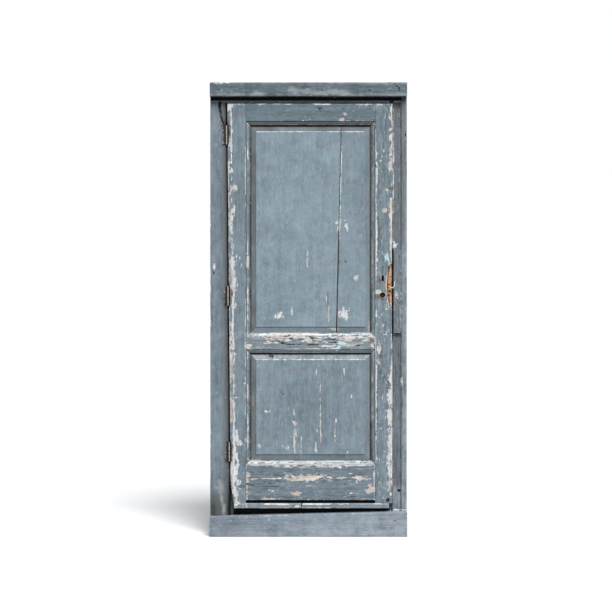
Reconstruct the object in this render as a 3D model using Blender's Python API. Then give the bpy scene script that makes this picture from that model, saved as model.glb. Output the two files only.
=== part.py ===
"""An old painted panel door in its frame: leaf, jambs, head, sill, three butt hinges and a mortise lock.

Units are metres. +Z is up, the front faces -Y, and the origin is under the middle of the sill.
"""

import math

import bmesh
import bpy
from mathutils import Matrix, Vector

# Clearances
FIT = 0.0003
HINGE_GAP = 0.0045
LATCH_GAP = 0.0045
HEAD_GAP = 0.006
FOOT_GAP = 0.017
STOP_GAP = 0.0009
PANEL_PLAY = 0.0015
CUT_OVER = 0.004

# Frame: sill, jambs, head and the boards planted on them
FRAME_WIDTH = 0.973
FRAME_HEIGHT = 2.238
SILL_DEPTH = 0.150
SILL_HEIGHT_HINGE_END = 0.097
SILL_HEIGHT_LATCH_END = 0.122
SILL_NOSING = 0.030
HINGE_JAMB_FOOT_WIDTH = 0.102
HINGE_JAMB_HEAD_WIDTH = 0.0825
LATCH_JAMB_WIDTH = 0.0695
HEAD_HEIGHT = 0.096
JAMB_TENON_LENGTH = 0.026
JAMB_TENON_THICKNESS = 0.030
JAMB_TENON_WIDTH = 0.040
HEAD_CASING_HEIGHT = 0.068
HEAD_CASING_THICKNESS = 0.038
LATCH_CASING_WIDTH = 0.027
LATCH_CASING_THICKNESS = 0.014
STOP_PROJECTION = 0.014
STOP_THICKNESS = 0.025
SILL_STOP_HEIGHT = 0.055

# Damage to the frame: a split at the head of the hinge jamb and an empty bolt hole
SPLIT_FROM_SIDE = 0.0455
SPLIT_WIDTH = 0.013
SPLIT_TIP_WIDTH = 0.003
SPLIT_DRIFT = 0.027
SPLIT_BEND = 0.060
SPLIT_BEND_DRIFT = 0.004
SPLIT_LENGTH = 0.120
SPLIT_DEPTH = 0.016
BOLT_HOLE_RADIUS = 0.005
BOLT_HOLE_DEPTH = 0.028
BOLT_HOLE_FROM_SIDE = 0.0395
BOLT_HOLE_HEIGHT = 0.222

# Repair patch at the strike
PATCH_THICKNESS = 0.016
PATCH_BELOW_LOCK = 0.229
PATCH_LENGTH = 0.412
PATCH_SET_BACK = 0.003

# Leaf: stiles, rails and panels
LEAF_THICKNESS = 0.040
LEAF_PROUD = 0.018
LOCK_STILE_WIDTH = 0.104
HINGE_STILE_FOOT_WIDTH = 0.094
TOP_RAIL_HEIGHT = 0.109
LOCK_RAIL_HEIGHT = 0.105
BOTTOM_RAIL_HEIGHT = 0.212
LOWER_OPENING_HEIGHT = 0.526
TENON_LENGTH = 0.048
TENON_THICKNESS = 0.012
TENON_SETBACK = 0.018
FOOT_STRIP_HEIGHT = 0.024
FOOT_STRIP_PROUD = 0.004
FOOT_STRIP_INSET = 0.014
FOOT_STRIP_JOINT_SHARE = 0.437
FOOT_STRIP_JOINT_GAP = 0.0012
FOOT_STRIP_EASE = 0.005
FOOT_SLOT_HEIGHT = 0.016
FOOT_SLOT_DEPTH = 0.022

# Moulding worked on the stiles and rails, and the fielded panels in their grooves
MOULD_WIDTH = 0.022
MOULD_DEPTH = 0.010
MOULD_QUIRK = 0.0025
MOULD_QUIRK_FLAT = 0.002
MOULD_FILLET_WIDTH = 0.005
MOULD_FILLET_STEP = 0.001
MOULD_SEGMENTS = 5
GROOVE_DEPTH = 0.012
PANEL_EDGE_THICKNESS = 0.008
PANEL_BEVEL_WIDTH = 0.027
PANEL_BEVEL_RISE = 0.005
FIELD_STEP = 0.0022
FIELD_STEP_RUN = 0.0006
JOINT_FROM_LOCK_SIDE_TOP = 0.146
JOINT_FROM_LOCK_SIDE_FOOT = 0.170
JOINT_GAP = 0.0016
TONGUE_WIDTH = 0.016
TONGUE_THICKNESS = 0.005

# Butt hinges: the jamb flap lies on the jamb's face, the leaf flap on the stile's edge
TOP_HINGE_BELOW_LEAF_TOP = 0.155
BOTTOM_HINGE_ABOVE_LEAF_FOOT = 0.2777
MIDDLE_HINGE_DROP = 0.012
HINGE_LENGTH = 0.095
FLAP_WIDTH = 0.024
PIN_RADIUS = 0.0028
KNUCKLE_WALL = 0.0024
PIN_HEAD_RADIUS = 0.0042
PIN_HEAD_HEIGHT = 0.0025
KNUCKLES = 5
SCREW_SPREAD = 0.058
SCREW_FROM_AXIS = 0.0155

# Screws and nails
SCREW_HEAD_RADIUS = 0.0036
SCREW_RADIUS = 0.0019
SCREW_HEAD_HEIGHT = 0.0014
SCREW_LENGTH = 0.022
NAIL_HEAD_RADIUS = 0.0042
NAIL_HEAD_HEIGHT = 0.002
NAIL_RADIUS = 0.0021
NAIL_LENGTH = 0.070
CASING_NAIL_SHARES = (0.047, 0.570, 0.810, 0.960)
CASING_NAIL_HEIGHT = 0.030

# Mortise lock
LOCK_HEIGHT = 1.232
LOCK_INSET = 0.0265
KEYHOLE_ABOVE_CENTRE = 0.041
SPINDLE_BELOW_CENTRE = 0.0415
BACKSET = 0.045
CASE_HEIGHT = 0.160
CASE_DEPTH = 0.070
CASE_THICKNESS = 0.012
CASE_WALL = 0.0017
FACEPLATE_HEIGHT = 0.217
FACEPLATE_WIDTH = 0.020
FACEPLATE_THICKNESS = 0.003
FACEPLATE_SCREW_SPREAD = 0.196
KEYHOLE_WIDTH = 0.012
KEYHOLE_HEIGHT = 0.027
SPINDLE_HOLE_RADIUS = 0.0125
BOLT_THICKNESS = 0.008
DEAD_BOLT_HEIGHT = 0.030
DEAD_BOLT_LENGTH = 0.036
DEAD_BOLT_THROW = 0.014
LATCH_HEIGHT = 0.022
LATCH_HEAD_LENGTH = 0.018
LATCH_BEVEL = 0.006
LATCH_TAIL_HEIGHT = 0.004
LATCH_TOOTH_HEIGHT = 0.009
LATCH_TOOTH_WIDTH = 0.004
LATCH_TOOTH_PLAY = 0.0006
HUB_RADIUS = 0.009
HUB_BOSS_RADIUS = 0.0062
HUB_ARM_LENGTH = 0.016
HUB_ARM_RADIUS = 0.003
HUB_SQUARE = 0.008
HUB_REST_ANGLE = math.radians(30)
BOLT_WAY = 0.0006
STRIKE_HEIGHT = 0.170
STRIKE_WIDTH = 0.0165
STRIKE_THICKNESS = 0.0015
STRIKE_SCREW_SPREAD = 0.150
STRIKE_POCKET_DEPTH = 0.019
STRIKE_POCKET_ROOM = 0.0012

# Broken arris beside the lock
BREAK_WIDTH = 0.024
BREAK_DEPTH = 0.013
BREAK_LENGTH = 0.220

# Facets on round work
ROUND_SIDES = 20
SMALL_SIDES = 12

# Planes and lines that several pieces share
BARREL_RADIUS = PIN_RADIUS + FIT + KNUCKLE_WALL
FLAP_THICKNESS = KNUCKLE_WALL - 2 * FIT
FRAME_SIDE = FRAME_WIDTH / 2
FRAME_FRONT = -SILL_DEPTH / 2
FRAME_BACK = SILL_DEPTH / 2
LEAF_FACE = FRAME_FRONT + SILL_NOSING
LEAF_BACK = LEAF_FACE + LEAF_THICKNESS
LEAF_MIDDLE = LEAF_FACE + LEAF_THICKNESS / 2
JAMB_FACE = LEAF_FACE + LEAF_PROUD
HEAD_UNDERSIDE = FRAME_HEIGHT - HEAD_HEIGHT
LATCH_JAMB_EDGE = FRAME_SIDE - LATCH_JAMB_WIDTH
LOCK_EDGE = LATCH_JAMB_EDGE - LATCH_GAP
JAMB_LEAN = (HINGE_JAMB_FOOT_WIDTH - HINGE_JAMB_HEAD_WIDTH) / FRAME_HEIGHT
LEAN_ANGLE = math.atan(JAMB_LEAN)


def sill_top(x):
    """Height of the sill's top at x: the sill is out of level."""
    share = (x + FRAME_SIDE) / FRAME_WIDTH
    return SILL_HEIGHT_HINGE_END + share * (SILL_HEIGHT_LATCH_END - SILL_HEIGHT_HINGE_END)


def hinge_jamb_edge(z):
    """Place of the hinge jamb's inner edge at height z: the jamb is wider at its foot."""
    return -FRAME_SIDE + HINGE_JAMB_FOOT_WIDTH - JAMB_LEAN * z


def hinge_edge(z):
    """Place of the leaf's hinge edge at height z, planed to follow the jamb."""
    return hinge_jamb_edge(z) + HINGE_GAP


def hinge_axis(z):
    """Place of the hinge pins' line at height z."""
    return hinge_edge(z) - FIT - BARREL_RADIUS


HINGE_AXIS_Y = JAMB_FACE - FIT / 2 - BARREL_RADIUS
LEAF_TOP = HEAD_UNDERSIDE - HEAD_GAP
LEAF_FOOT = sill_top(LATCH_JAMB_EDGE) + FOOT_GAP
STILE_FOOT = LEAF_FOOT + FOOT_STRIP_HEIGHT
OPENING_RIGHT = LOCK_EDGE - LOCK_STILE_WIDTH
OPENING_LEFT = hinge_edge(STILE_FOOT) + HINGE_STILE_FOOT_WIDTH
FACE_RIGHT = OPENING_RIGHT + MOULD_WIDTH
FACE_LEFT = OPENING_LEFT - MOULD_WIDTH
LOWER_FOOT = STILE_FOOT + BOTTOM_RAIL_HEIGHT
LOWER_TOP = LOWER_FOOT + LOWER_OPENING_HEIGHT
UPPER_FOOT = LOWER_TOP + LOCK_RAIL_HEIGHT
UPPER_TOP = LEAF_TOP - TOP_RAIL_HEIGHT
UPPER_OPENING = (OPENING_LEFT, OPENING_RIGHT, UPPER_FOOT, UPPER_TOP)
LOWER_OPENING = (OPENING_LEFT, OPENING_RIGHT, LOWER_FOOT, LOWER_TOP)
LOCK_Y = LEAF_FACE + LOCK_INSET
KEYHOLE_Z = LOCK_HEIGHT + KEYHOLE_ABOVE_CENTRE
SPINDLE_Z = LOCK_HEIGHT - SPINDLE_BELOW_CENTRE
SPINDLE_X = LOCK_EDGE - BACKSET
LATCH_FOOT = SPINDLE_Z - HUB_ARM_LENGTH - HUB_ARM_RADIUS - LATCH_TOOTH_PLAY - LATCH_TAIL_HEIGHT
LATCH_THROW = HUB_ARM_LENGTH * math.sin(HUB_REST_ANGLE)
STOP_FRONT = LEAF_BACK + STOP_GAP
PATCH_FOOT = LOCK_HEIGHT - PATCH_BELOW_LOCK
BOTTOM_HINGE = LEAF_FOOT + BOTTOM_HINGE_ABOVE_LEAF_FOOT
TOP_HINGE = LEAF_TOP - TOP_HINGE_BELOW_LEAF_TOP
MIDDLE_HINGE = (BOTTOM_HINGE + TOP_HINGE) / 2 - MIDDLE_HINGE_DROP
HINGE_HEIGHTS = {"bottom": BOTTOM_HINGE, "middle": MIDDLE_HINGE, "top": TOP_HINGE}


def clear_scene():
    for obj in list(bpy.data.objects):
        bpy.data.objects.remove(obj)


def finish(name, colour, roughness, metallic=0.0):
    """A plain finish: one Principled BSDF."""
    made = bpy.data.materials.new(name)
    made.use_nodes = True
    shader = made.node_tree.nodes["Principled BSDF"]
    shader.inputs["Base Color"].default_value = (*colour, 1.0)
    shader.inputs["Roughness"].default_value = roughness
    shader.inputs["Metallic"].default_value = metallic
    made.diffuse_color = (*colour, 1.0)
    return made


def empty(name, location, rotation=(0, 0, 0), parent=None):
    """A guide that carries pieces and marks a joint's axis."""
    made = bpy.data.objects.new(name, None)
    bpy.context.scene.collection.objects.link(made)
    made.location = location
    made.rotation_euler = rotation
    bpy.context.view_layer.update()
    if parent:
        carry(made, parent)
    return made


def carry(obj, parent):
    """Parents obj and leaves it where it stands."""
    bpy.context.view_layer.update()
    obj.parent = parent
    obj.matrix_parent_inverse = parent.matrix_world.inverted()
    bpy.context.view_layer.update()


def place(obj, parent, location=(0, 0, 0), rotation=(0, 0, 0)):
    """Parents obj and sets it in its parent's own frame."""
    obj.parent = parent
    obj.location = location
    obj.rotation_euler = rotation
    bpy.context.view_layer.update()
    return obj


def to_object(name, bm, material=None, smooth=False):
    """The bmesh as a named object; with no material it is a cutter."""
    bmesh.ops.recalc_face_normals(bm, faces=bm.faces)
    mesh = bpy.data.meshes.new(name)
    bm.to_mesh(mesh)
    bm.free()
    if smooth:
        mesh.shade_smooth()
        mesh.set_sharp_from_angle(angle=math.radians(35))
    obj = bpy.data.objects.new(name, mesh)
    bpy.context.scene.collection.objects.link(obj)
    if material:
        mesh.materials.append(material)
    else:
        obj.hide_render = True
        obj.display_type = "WIRE"
    return obj


def boolean(target, other, operation):
    modifier = target.modifiers.new(other.name, "BOOLEAN")
    modifier.operation = operation
    modifier.solver = "EXACT"
    modifier.object = other


def cut(target, *cutters):
    for cutter in cutters:
        boolean(target, cutter, "DIFFERENCE")


def join(target, *pieces):
    for piece in pieces:
        boolean(target, piece, "UNION")


def outline_mesh(outline, near, far):
    """A front-view outline of (x, z) points, extruded from y = near to y = far."""
    bm = bmesh.new()
    face = bm.faces.new([bm.verts.new((x, near, z)) for x, z in outline])
    made = bmesh.ops.extrude_face_region(bm, geom=[face])
    moved = [v for v in made["geom"] if isinstance(v, bmesh.types.BMVert)]
    bmesh.ops.translate(bm, verts=moved, vec=(0, far - near, 0))
    return bm


def board(name, outline, near, far, material=None):
    return to_object(name, outline_mesh(outline, near, far), material)


def rectangle(left, right, foot, top):
    return [(left, foot), (right, foot), (right, top), (left, top)]


def block(name, x_span, y_span, z_span, material=None):
    return board(name, rectangle(*x_span, *z_span), *y_span, material)


def turn_about_z(bm, geometry, sides):
    bmesh.ops.spin(
        bm, geom=geometry, cent=(0, 0, 0), axis=(0, 0, 1), angle=math.tau, steps=sides, use_merge=True
    )
    bmesh.ops.remove_doubles(bm, verts=bm.verts, dist=FIT / 100)


def turned(name, profile, sides, material=None):
    """A solid turned about Z from (radius, height) points that start and end on the axis."""
    bm = bmesh.new()
    points = [bm.verts.new((radius, 0, height)) for radius, height in profile]
    edges = [bm.edges.new(pair) for pair in zip(points, points[1:])]
    turn_about_z(bm, points + edges, sides)
    return to_object(name, bm, material, smooth=True)


def rod(name, radius, foot, top, sides=ROUND_SIDES, material=None):
    return turned(name, [(0, top), (radius, top), (radius, foot), (0, foot)], sides, material)


def ring(name, inner, outer, foot, top):
    """A plain collar about Z."""
    bm = bmesh.new()
    points = [bm.verts.new((r, 0, z)) for r, z in ((inner, foot), (outer, foot), (outer, top), (inner, top))]
    edges = [bm.edges.new(pair) for pair in zip(points, points[1:] + points[:1])]
    turn_about_z(bm, points + edges, ROUND_SIDES)
    return to_object(name, bm)


def mitred_ring(name, opening, profile):
    """A profile of (outward, y) points run round a rectangular opening, mitred at its corners."""
    left, right, foot, top = opening
    bm = bmesh.new()
    corners = ((left, foot, -1, -1), (right, foot, 1, -1), (right, top, 1, 1), (left, top, -1, 1))
    loops = []
    for x, z, side, lift in corners:
        points = [bm.verts.new((x + side * out, y, z + lift * out)) for out, y in profile]
        loops.append([bm.edges.new(pair) for pair in zip(points, points[1:] + points[:1])])
    for first, second in zip(loops, loops[1:] + loops[:1]):
        bmesh.ops.bridge_loops(bm, edges=first + second)
    return to_object(name, bm)


def arc(centre, radius, start, end, steps):
    """Points (x, z) on a round stretch, from one angle to another."""
    turn = (end - start) / steps
    return [
        (centre[0] + radius * math.cos(start + turn * i), centre[1] + radius * math.sin(start + turn * i))
        for i in range(steps + 1)
    ]


def moulding_profile(face, inward):
    """The quirked ovolo as a cutter's outline: inward is +1 on the front face and -1 on the back."""
    quirk_end = MOULD_WIDTH - MOULD_QUIRK_FLAT
    run = quirk_end - MOULD_FILLET_WIDTH
    drop = MOULD_DEPTH - MOULD_FILLET_STEP - MOULD_QUIRK
    points = [(MOULD_WIDTH, -CUT_OVER), (MOULD_WIDTH, MOULD_QUIRK)]
    for i in range(MOULD_SEGMENTS + 1):
        turn = math.pi / 2 * i / MOULD_SEGMENTS
        points.append((quirk_end - run * math.sin(turn), MOULD_QUIRK + drop * (1 - math.cos(turn))))
    points.append((MOULD_FILLET_WIDTH, MOULD_DEPTH))
    points += [(-CUT_OVER, MOULD_DEPTH), (-CUT_OVER, -CUT_OVER)]
    return [(out, face + inward * depth) for out, depth in points]


def groove_profile():
    half = PANEL_EDGE_THICKNESS / 2 + FIT
    near, far = LEAF_MIDDLE - half, LEAF_MIDDLE + half
    return [(GROOVE_DEPTH, near), (GROOVE_DEPTH, far), (-CUT_OVER, far), (-CUT_OVER, near)]


def opening_cutters(label, opening):
    """The cutters that work the moulding on both faces and plough the panel groove."""
    return [
        mitred_ring(f"{label}_front_moulding", opening, moulding_profile(LEAF_FACE, 1)),
        mitred_ring(f"{label}_back_moulding", opening, moulding_profile(LEAF_BACK, -1)),
        mitred_ring(f"{label}_groove", opening, groove_profile()),
    ]


def stile_outline(edge, face, opening_side):
    """A stile seen from the front, mitred at each panel opening. edge(z) is its outer edge."""
    points = [(edge(STILE_FOOT), STILE_FOOT), (edge(LEAF_TOP), LEAF_TOP), (face, LEAF_TOP)]
    for foot, top in ((UPPER_FOOT, UPPER_TOP), (LOWER_FOOT, LOWER_TOP)):
        points += [(face, top + MOULD_WIDTH), (opening_side, top)]
        points += [(opening_side, foot), (face, foot - MOULD_WIDTH)]
    return points + [(face, STILE_FOOT)]


def rail_outline(foot, top, opening_below, opening_above):
    """A rail seen from the front, with mitred shoulders where it borders a panel opening."""
    left, right = FACE_LEFT + FIT, FACE_RIGHT - FIT
    inner_left, inner_right = OPENING_LEFT + FIT, OPENING_RIGHT - FIT
    if opening_below:
        shoulder = foot + MOULD_WIDTH
        points = [(left, shoulder), (inner_left, foot), (inner_right, foot), (right, shoulder)]
    else:
        points = [(left, foot), (right, foot)]
    if opening_above:
        shoulder = top - MOULD_WIDTH
        points += [(right, shoulder), (inner_right, top), (inner_left, top), (left, shoulder)]
    else:
        points += [(right, top), (left, top)]
    return points


def tenon_span(foot, top):
    return foot + TENON_SETBACK, top - TENON_SETBACK


def tenons(label, foot, top, spare):
    """A pair of tenons, or with some spare the mortises that take them."""
    low, high = tenon_span(foot, top)
    half = TENON_THICKNESS / 2 + spare
    pair = []
    for side, face, inward in (("hinge", FACE_LEFT, 1), ("lock", FACE_RIGHT, -1)):
        ends = sorted((face - inward * (TENON_LENGTH + spare), face + inward * (GROOVE_DEPTH - spare)))
        pair.append(
            block(
                f"{label}_{side}",
                ends,
                (LEAF_MIDDLE - half, LEAF_MIDDLE + half),
                (low - spare, high + spare),
            )
        )
    return pair


def fielded_panel(opening):
    """A panel raised and fielded on both faces, with its edges reaching into the groove."""
    left, right, foot, top = opening
    reach = GROOVE_DEPTH - PANEL_PLAY
    half = PANEL_EDGE_THICKNESS / 2
    edge = rectangle(left - reach, right + reach, foot - reach, top + reach)
    bm = outline_mesh(edge, LEAF_MIDDLE - half, LEAF_MIDDLE + half)
    bmesh.ops.recalc_face_normals(bm, faces=bm.faces)
    faces = [f for f in bm.faces if abs(f.normal.y) > 0.9]
    for run, rise in ((reach, 0), (PANEL_BEVEL_WIDTH, PANEL_BEVEL_RISE), (FIELD_STEP_RUN, FIELD_STEP)):
        bmesh.ops.inset_individual(bm, faces=faces, thickness=run, depth=rise, use_even_offset=True)
    return bm


def joint_line(offset):
    """Foot and top of the open joint between the upper panel's boards, shifted sideways by offset."""
    foot = Vector((OPENING_RIGHT - JOINT_FROM_LOCK_SIDE_FOOT + offset, LEAF_MIDDLE, UPPER_FOOT))
    top = Vector((OPENING_RIGHT - JOINT_FROM_LOCK_SIDE_TOP + offset, LEAF_MIDDLE, UPPER_TOP))
    return foot, top


def panel_board(name, offset, keep_side, material):
    """One board of the upper panel: the fielded panel cut along the joint."""
    bm = fielded_panel(UPPER_OPENING)
    foot, top = joint_line(offset)
    along = top - foot
    normal = Vector((along.z, 0, -along.x)).normalized() * keep_side
    bmesh.ops.bisect_plane(
        bm, geom=bm.verts[:] + bm.edges[:] + bm.faces[:], plane_co=foot, plane_no=normal, clear_inner=True
    )
    bmesh.ops.holes_fill(bm, edges=[e for e in bm.edges if e.is_boundary])
    return to_object(name, bm, material)


def joint_strip(name, spare, material=None):
    """The loose tongue in the panel joint, or with some spare the slot for it."""
    foot, top = joint_line(0)
    run = GROOVE_DEPTH - PANEL_PLAY - FIT + spare
    along = (top - foot).normalized()
    half = TONGUE_WIDTH / 2 + spare
    low, high = foot - along * run, top + along * run
    thick = TONGUE_THICKNESS / 2 + spare
    outline = [
        (low.x - half, low.z),
        (low.x + half, low.z),
        (high.x + half, high.z),
        (high.x - half, high.z),
    ]
    return board(name, outline, LEAF_MIDDLE - thick, LEAF_MIDDLE + thick, material)


def countersunk(name, length, spare, material=None):
    """A countersunk screw with its head up at the origin, or with some spare the hole for it."""
    head, shank = SCREW_HEAD_RADIUS + spare, SCREW_RADIUS + spare
    tip = -length - spare
    profile = [(0, 0), (head, 0), (shank, -SCREW_HEAD_HEIGHT), (shank, tip), (0, tip)]
    if spare:
        profile[:1] = [(0, CUT_OVER), (head, CUT_OVER)]
    return turned(name, profile, SMALL_SIDES, material)


def nail(name, spare, material=None):
    """A flat-headed nail with its head flush at the origin, or with some spare the hole for it."""
    head, shank = NAIL_HEAD_RADIUS + spare, NAIL_RADIUS + spare
    seat, tip = -NAIL_HEAD_HEIGHT - spare, -NAIL_LENGTH - spare
    profile = [(0, 0), (head, 0), (head, seat), (shank, seat), (shank, tip), (0, tip)]
    if spare:
        profile[:1] = [(0, CUT_OVER), (head, CUT_OVER)]
    return turned(name, profile, SMALL_SIDES, material)


FACING_FRONT = (math.pi / 2, 0, 0)
FACING_HINGE_SIDE = (0, -math.pi / 2, 0)
FACING_LOCK_SIDE = (0, math.pi / 2, 0)


def drive(name, make, parent, location, rotation, through, material):
    """Makes a screw or nail and drills every piece that it goes through."""
    fastener = place(make(name, 0, material), parent, location, rotation)
    hole = place(make(f"{name}_hole", FIT, None), parent, location, rotation)
    for piece in through:
        cut(piece, hole)
    return fastener


def screw(name, spare, material):
    return countersunk(name, SCREW_LENGTH, spare, material)


def make_frame(root, paint, iron):
    """Sill, jambs, head, stops and the boards planted on the jambs."""
    side_foot, side_head = sill_top(-FRAME_SIDE), sill_top(FRAME_SIDE)
    sill = board(
        "sill",
        [(-FRAME_SIDE, 0), (FRAME_SIDE, 0), (FRAME_SIDE, side_head), (-FRAME_SIDE, side_foot)],
        FRAME_FRONT,
        FRAME_BACK,
        paint,
    )
    head = block(
        "head_jamb",
        (-FRAME_SIDE, FRAME_SIDE),
        (JAMB_FACE, FRAME_BACK),
        (HEAD_UNDERSIDE, FRAME_HEIGHT),
        paint,
    )
    jamb_top = HEAD_UNDERSIDE - FIT
    hinge_jamb = board(
        "hinge_jamb",
        [
            (-FRAME_SIDE, sill_top(-FRAME_SIDE) + FIT),
            (hinge_jamb_edge(sill_top(0)), sill_top(hinge_jamb_edge(sill_top(0))) + FIT),
            (hinge_jamb_edge(jamb_top), jamb_top),
            (-FRAME_SIDE, jamb_top),
        ],
        JAMB_FACE,
        FRAME_BACK,
        paint,
    )
    latch_jamb = board(
        "latch_jamb",
        [
            (LATCH_JAMB_EDGE, sill_top(LATCH_JAMB_EDGE) + FIT),
            (FRAME_SIDE, sill_top(FRAME_SIDE) + FIT),
            (FRAME_SIDE, jamb_top),
            (LATCH_JAMB_EDGE, jamb_top),
        ],
        JAMB_FACE,
        FRAME_BACK,
        paint,
    )
    tenon_jambs(hinge_jamb, latch_jamb, sill, head)
    split_jamb(hinge_jamb)
    bolt_hole = rod("bolt_hole", BOLT_HOLE_RADIUS, -BOLT_HOLE_DEPTH, CUT_OVER, SMALL_SIDES)
    place(bolt_hole, root, (FRAME_SIDE - BOLT_HOLE_FROM_SIDE, JAMB_FACE, BOLT_HOLE_HEIGHT), FACING_FRONT)
    cut(latch_jamb, bolt_hole)
    make_stops(root, paint)
    casing_foot = FRAME_HEIGHT - HEAD_CASING_HEIGHT
    casing_back = JAMB_FACE - FIT
    casing_front = casing_back - HEAD_CASING_THICKNESS
    casing = block(
        "head_casing",
        (-FRAME_SIDE, FRAME_SIDE),
        (casing_front, casing_back),
        (casing_foot, FRAME_HEIGHT),
        paint,
    )
    strip_edge = FRAME_SIDE - LATCH_CASING_WIDTH
    strip = board(
        "latch_casing",
        [
            (strip_edge, sill_top(strip_edge) + FIT),
            (FRAME_SIDE, sill_top(FRAME_SIDE) + FIT),
            (FRAME_SIDE, casing_foot - FIT),
            (strip_edge, casing_foot - FIT),
        ],
        casing_back - LATCH_CASING_THICKNESS,
        casing_back,
        paint,
    )
    patch = block(
        "strike_patch",
        (LATCH_JAMB_EDGE + PATCH_SET_BACK, strip_edge - FIT),
        (casing_back - PATCH_THICKNESS, casing_back),
        (PATCH_FOOT, PATCH_FOOT + PATCH_LENGTH),
        paint,
    )
    for number, share in enumerate(CASING_NAIL_SHARES, 1):
        where = (share * FRAME_WIDTH - FRAME_SIDE, casing_front, casing_foot + CASING_NAIL_HEIGHT)
        drive(f"casing_nail_{number}", nail, root, where, FACING_FRONT, (casing, head), iron)
    for piece in (sill, head, hinge_jamb, latch_jamb, casing, strip, patch):
        carry(piece, root)
    return hinge_jamb, latch_jamb


def tenon_jambs(hinge_jamb, latch_jamb, sill, head):
    """Stub tenons that hold the jambs in the head and the sill."""
    half = JAMB_TENON_THICKNESS / 2
    middle = (JAMB_FACE + FRAME_BACK) / 2
    hinge_middle = -FRAME_SIDE + HINGE_JAMB_HEAD_WIDTH / 2
    latch_middle = FRAME_SIDE - LATCH_JAMB_WIDTH / 2
    for jamb, centre in ((hinge_jamb, hinge_middle), (latch_jamb, latch_middle)):
        for end, housing, shoulder, out in (
            ("head", head, HEAD_UNDERSIDE, 1),
            ("foot", sill, sill_top(centre), -1),
        ):
            for label, spare in (("tenon", 0), ("mortise", FIT)):
                across = JAMB_TENON_WIDTH / 2 + spare
                root_end = shoulder - out * JAMB_TENON_WIDTH / 2
                ends = sorted((root_end, shoulder + out * (JAMB_TENON_LENGTH + spare)))
                shape = block(
                    f"{jamb.name}_{end}_{label}",
                    (centre - across, centre + across),
                    (middle - half - spare, middle + half + spare),
                    ends,
                )
                if spare:
                    cut(housing, shape)
                else:
                    join(jamb, shape)


def split_jamb(jamb):
    """The long check that opens the hinge jamb's face below the head."""
    centre = -FRAME_SIDE + SPLIT_FROM_SIDE
    wide, narrow = SPLIT_WIDTH / 2, SPLIT_TIP_WIDTH / 2
    top, tip = HEAD_UNDERSIDE + CUT_OVER, HEAD_UNDERSIDE - SPLIT_LENGTH
    turn, bend = centre + SPLIT_BEND_DRIFT, HEAD_UNDERSIDE - SPLIT_BEND
    foot = centre + SPLIT_DRIFT
    outline = [(centre - wide, top), (turn - wide, bend), (foot - narrow, tip)]
    outline += [(foot + narrow, tip), (turn + wide, bend), (centre + wide, top)]
    cut(jamb, board("jamb_split", outline, JAMB_FACE - CUT_OVER, JAMB_FACE + SPLIT_DEPTH))


def make_stops(root, paint):
    """Strips behind the leaf that it closes against."""
    near, far = STOP_FRONT, STOP_FRONT + STOP_THICKNESS
    top = HEAD_UNDERSIDE - FIT
    hinge_foot = sill_top(hinge_jamb_edge(0)) + FIT
    latch_foot = sill_top(LATCH_JAMB_EDGE) + FIT
    left = [hinge_jamb_edge(z) + FIT for z in (hinge_foot, top)]
    right = LATCH_JAMB_EDGE - FIT
    hinge_stop = board(
        "hinge_stop",
        [
            (left[0], sill_top(left[0]) + FIT),
            (left[0] + STOP_PROJECTION, sill_top(left[0] + STOP_PROJECTION) + FIT),
            (left[1] + STOP_PROJECTION, top),
            (left[1], top),
        ],
        near,
        far,
        paint,
    )
    latch_stop = board(
        "latch_stop",
        [
            (right - STOP_PROJECTION, sill_top(right - STOP_PROJECTION) + FIT),
            (right, latch_foot),
            (right, top),
            (right - STOP_PROJECTION, top),
        ],
        near,
        far,
        paint,
    )
    head_stop = block(
        "head_stop",
        (left[1] + STOP_PROJECTION + FIT, right - STOP_PROJECTION - FIT),
        (near, far),
        (top - STOP_PROJECTION, top),
        paint,
    )
    inner_left, inner_right = left[0] + STOP_PROJECTION + FIT, right - STOP_PROJECTION - FIT
    sill_stop = board(
        "sill_stop",
        [
            (inner_left, sill_top(inner_left) + FIT),
            (inner_right, sill_top(inner_right) + FIT),
            (inner_right, sill_top(inner_right) + SILL_STOP_HEIGHT),
            (inner_left, sill_top(inner_left) + SILL_STOP_HEIGHT),
        ],
        near,
        far,
        paint,
    )
    for piece in (hinge_stop, latch_stop, head_stop, sill_stop):
        carry(piece, root)


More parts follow.
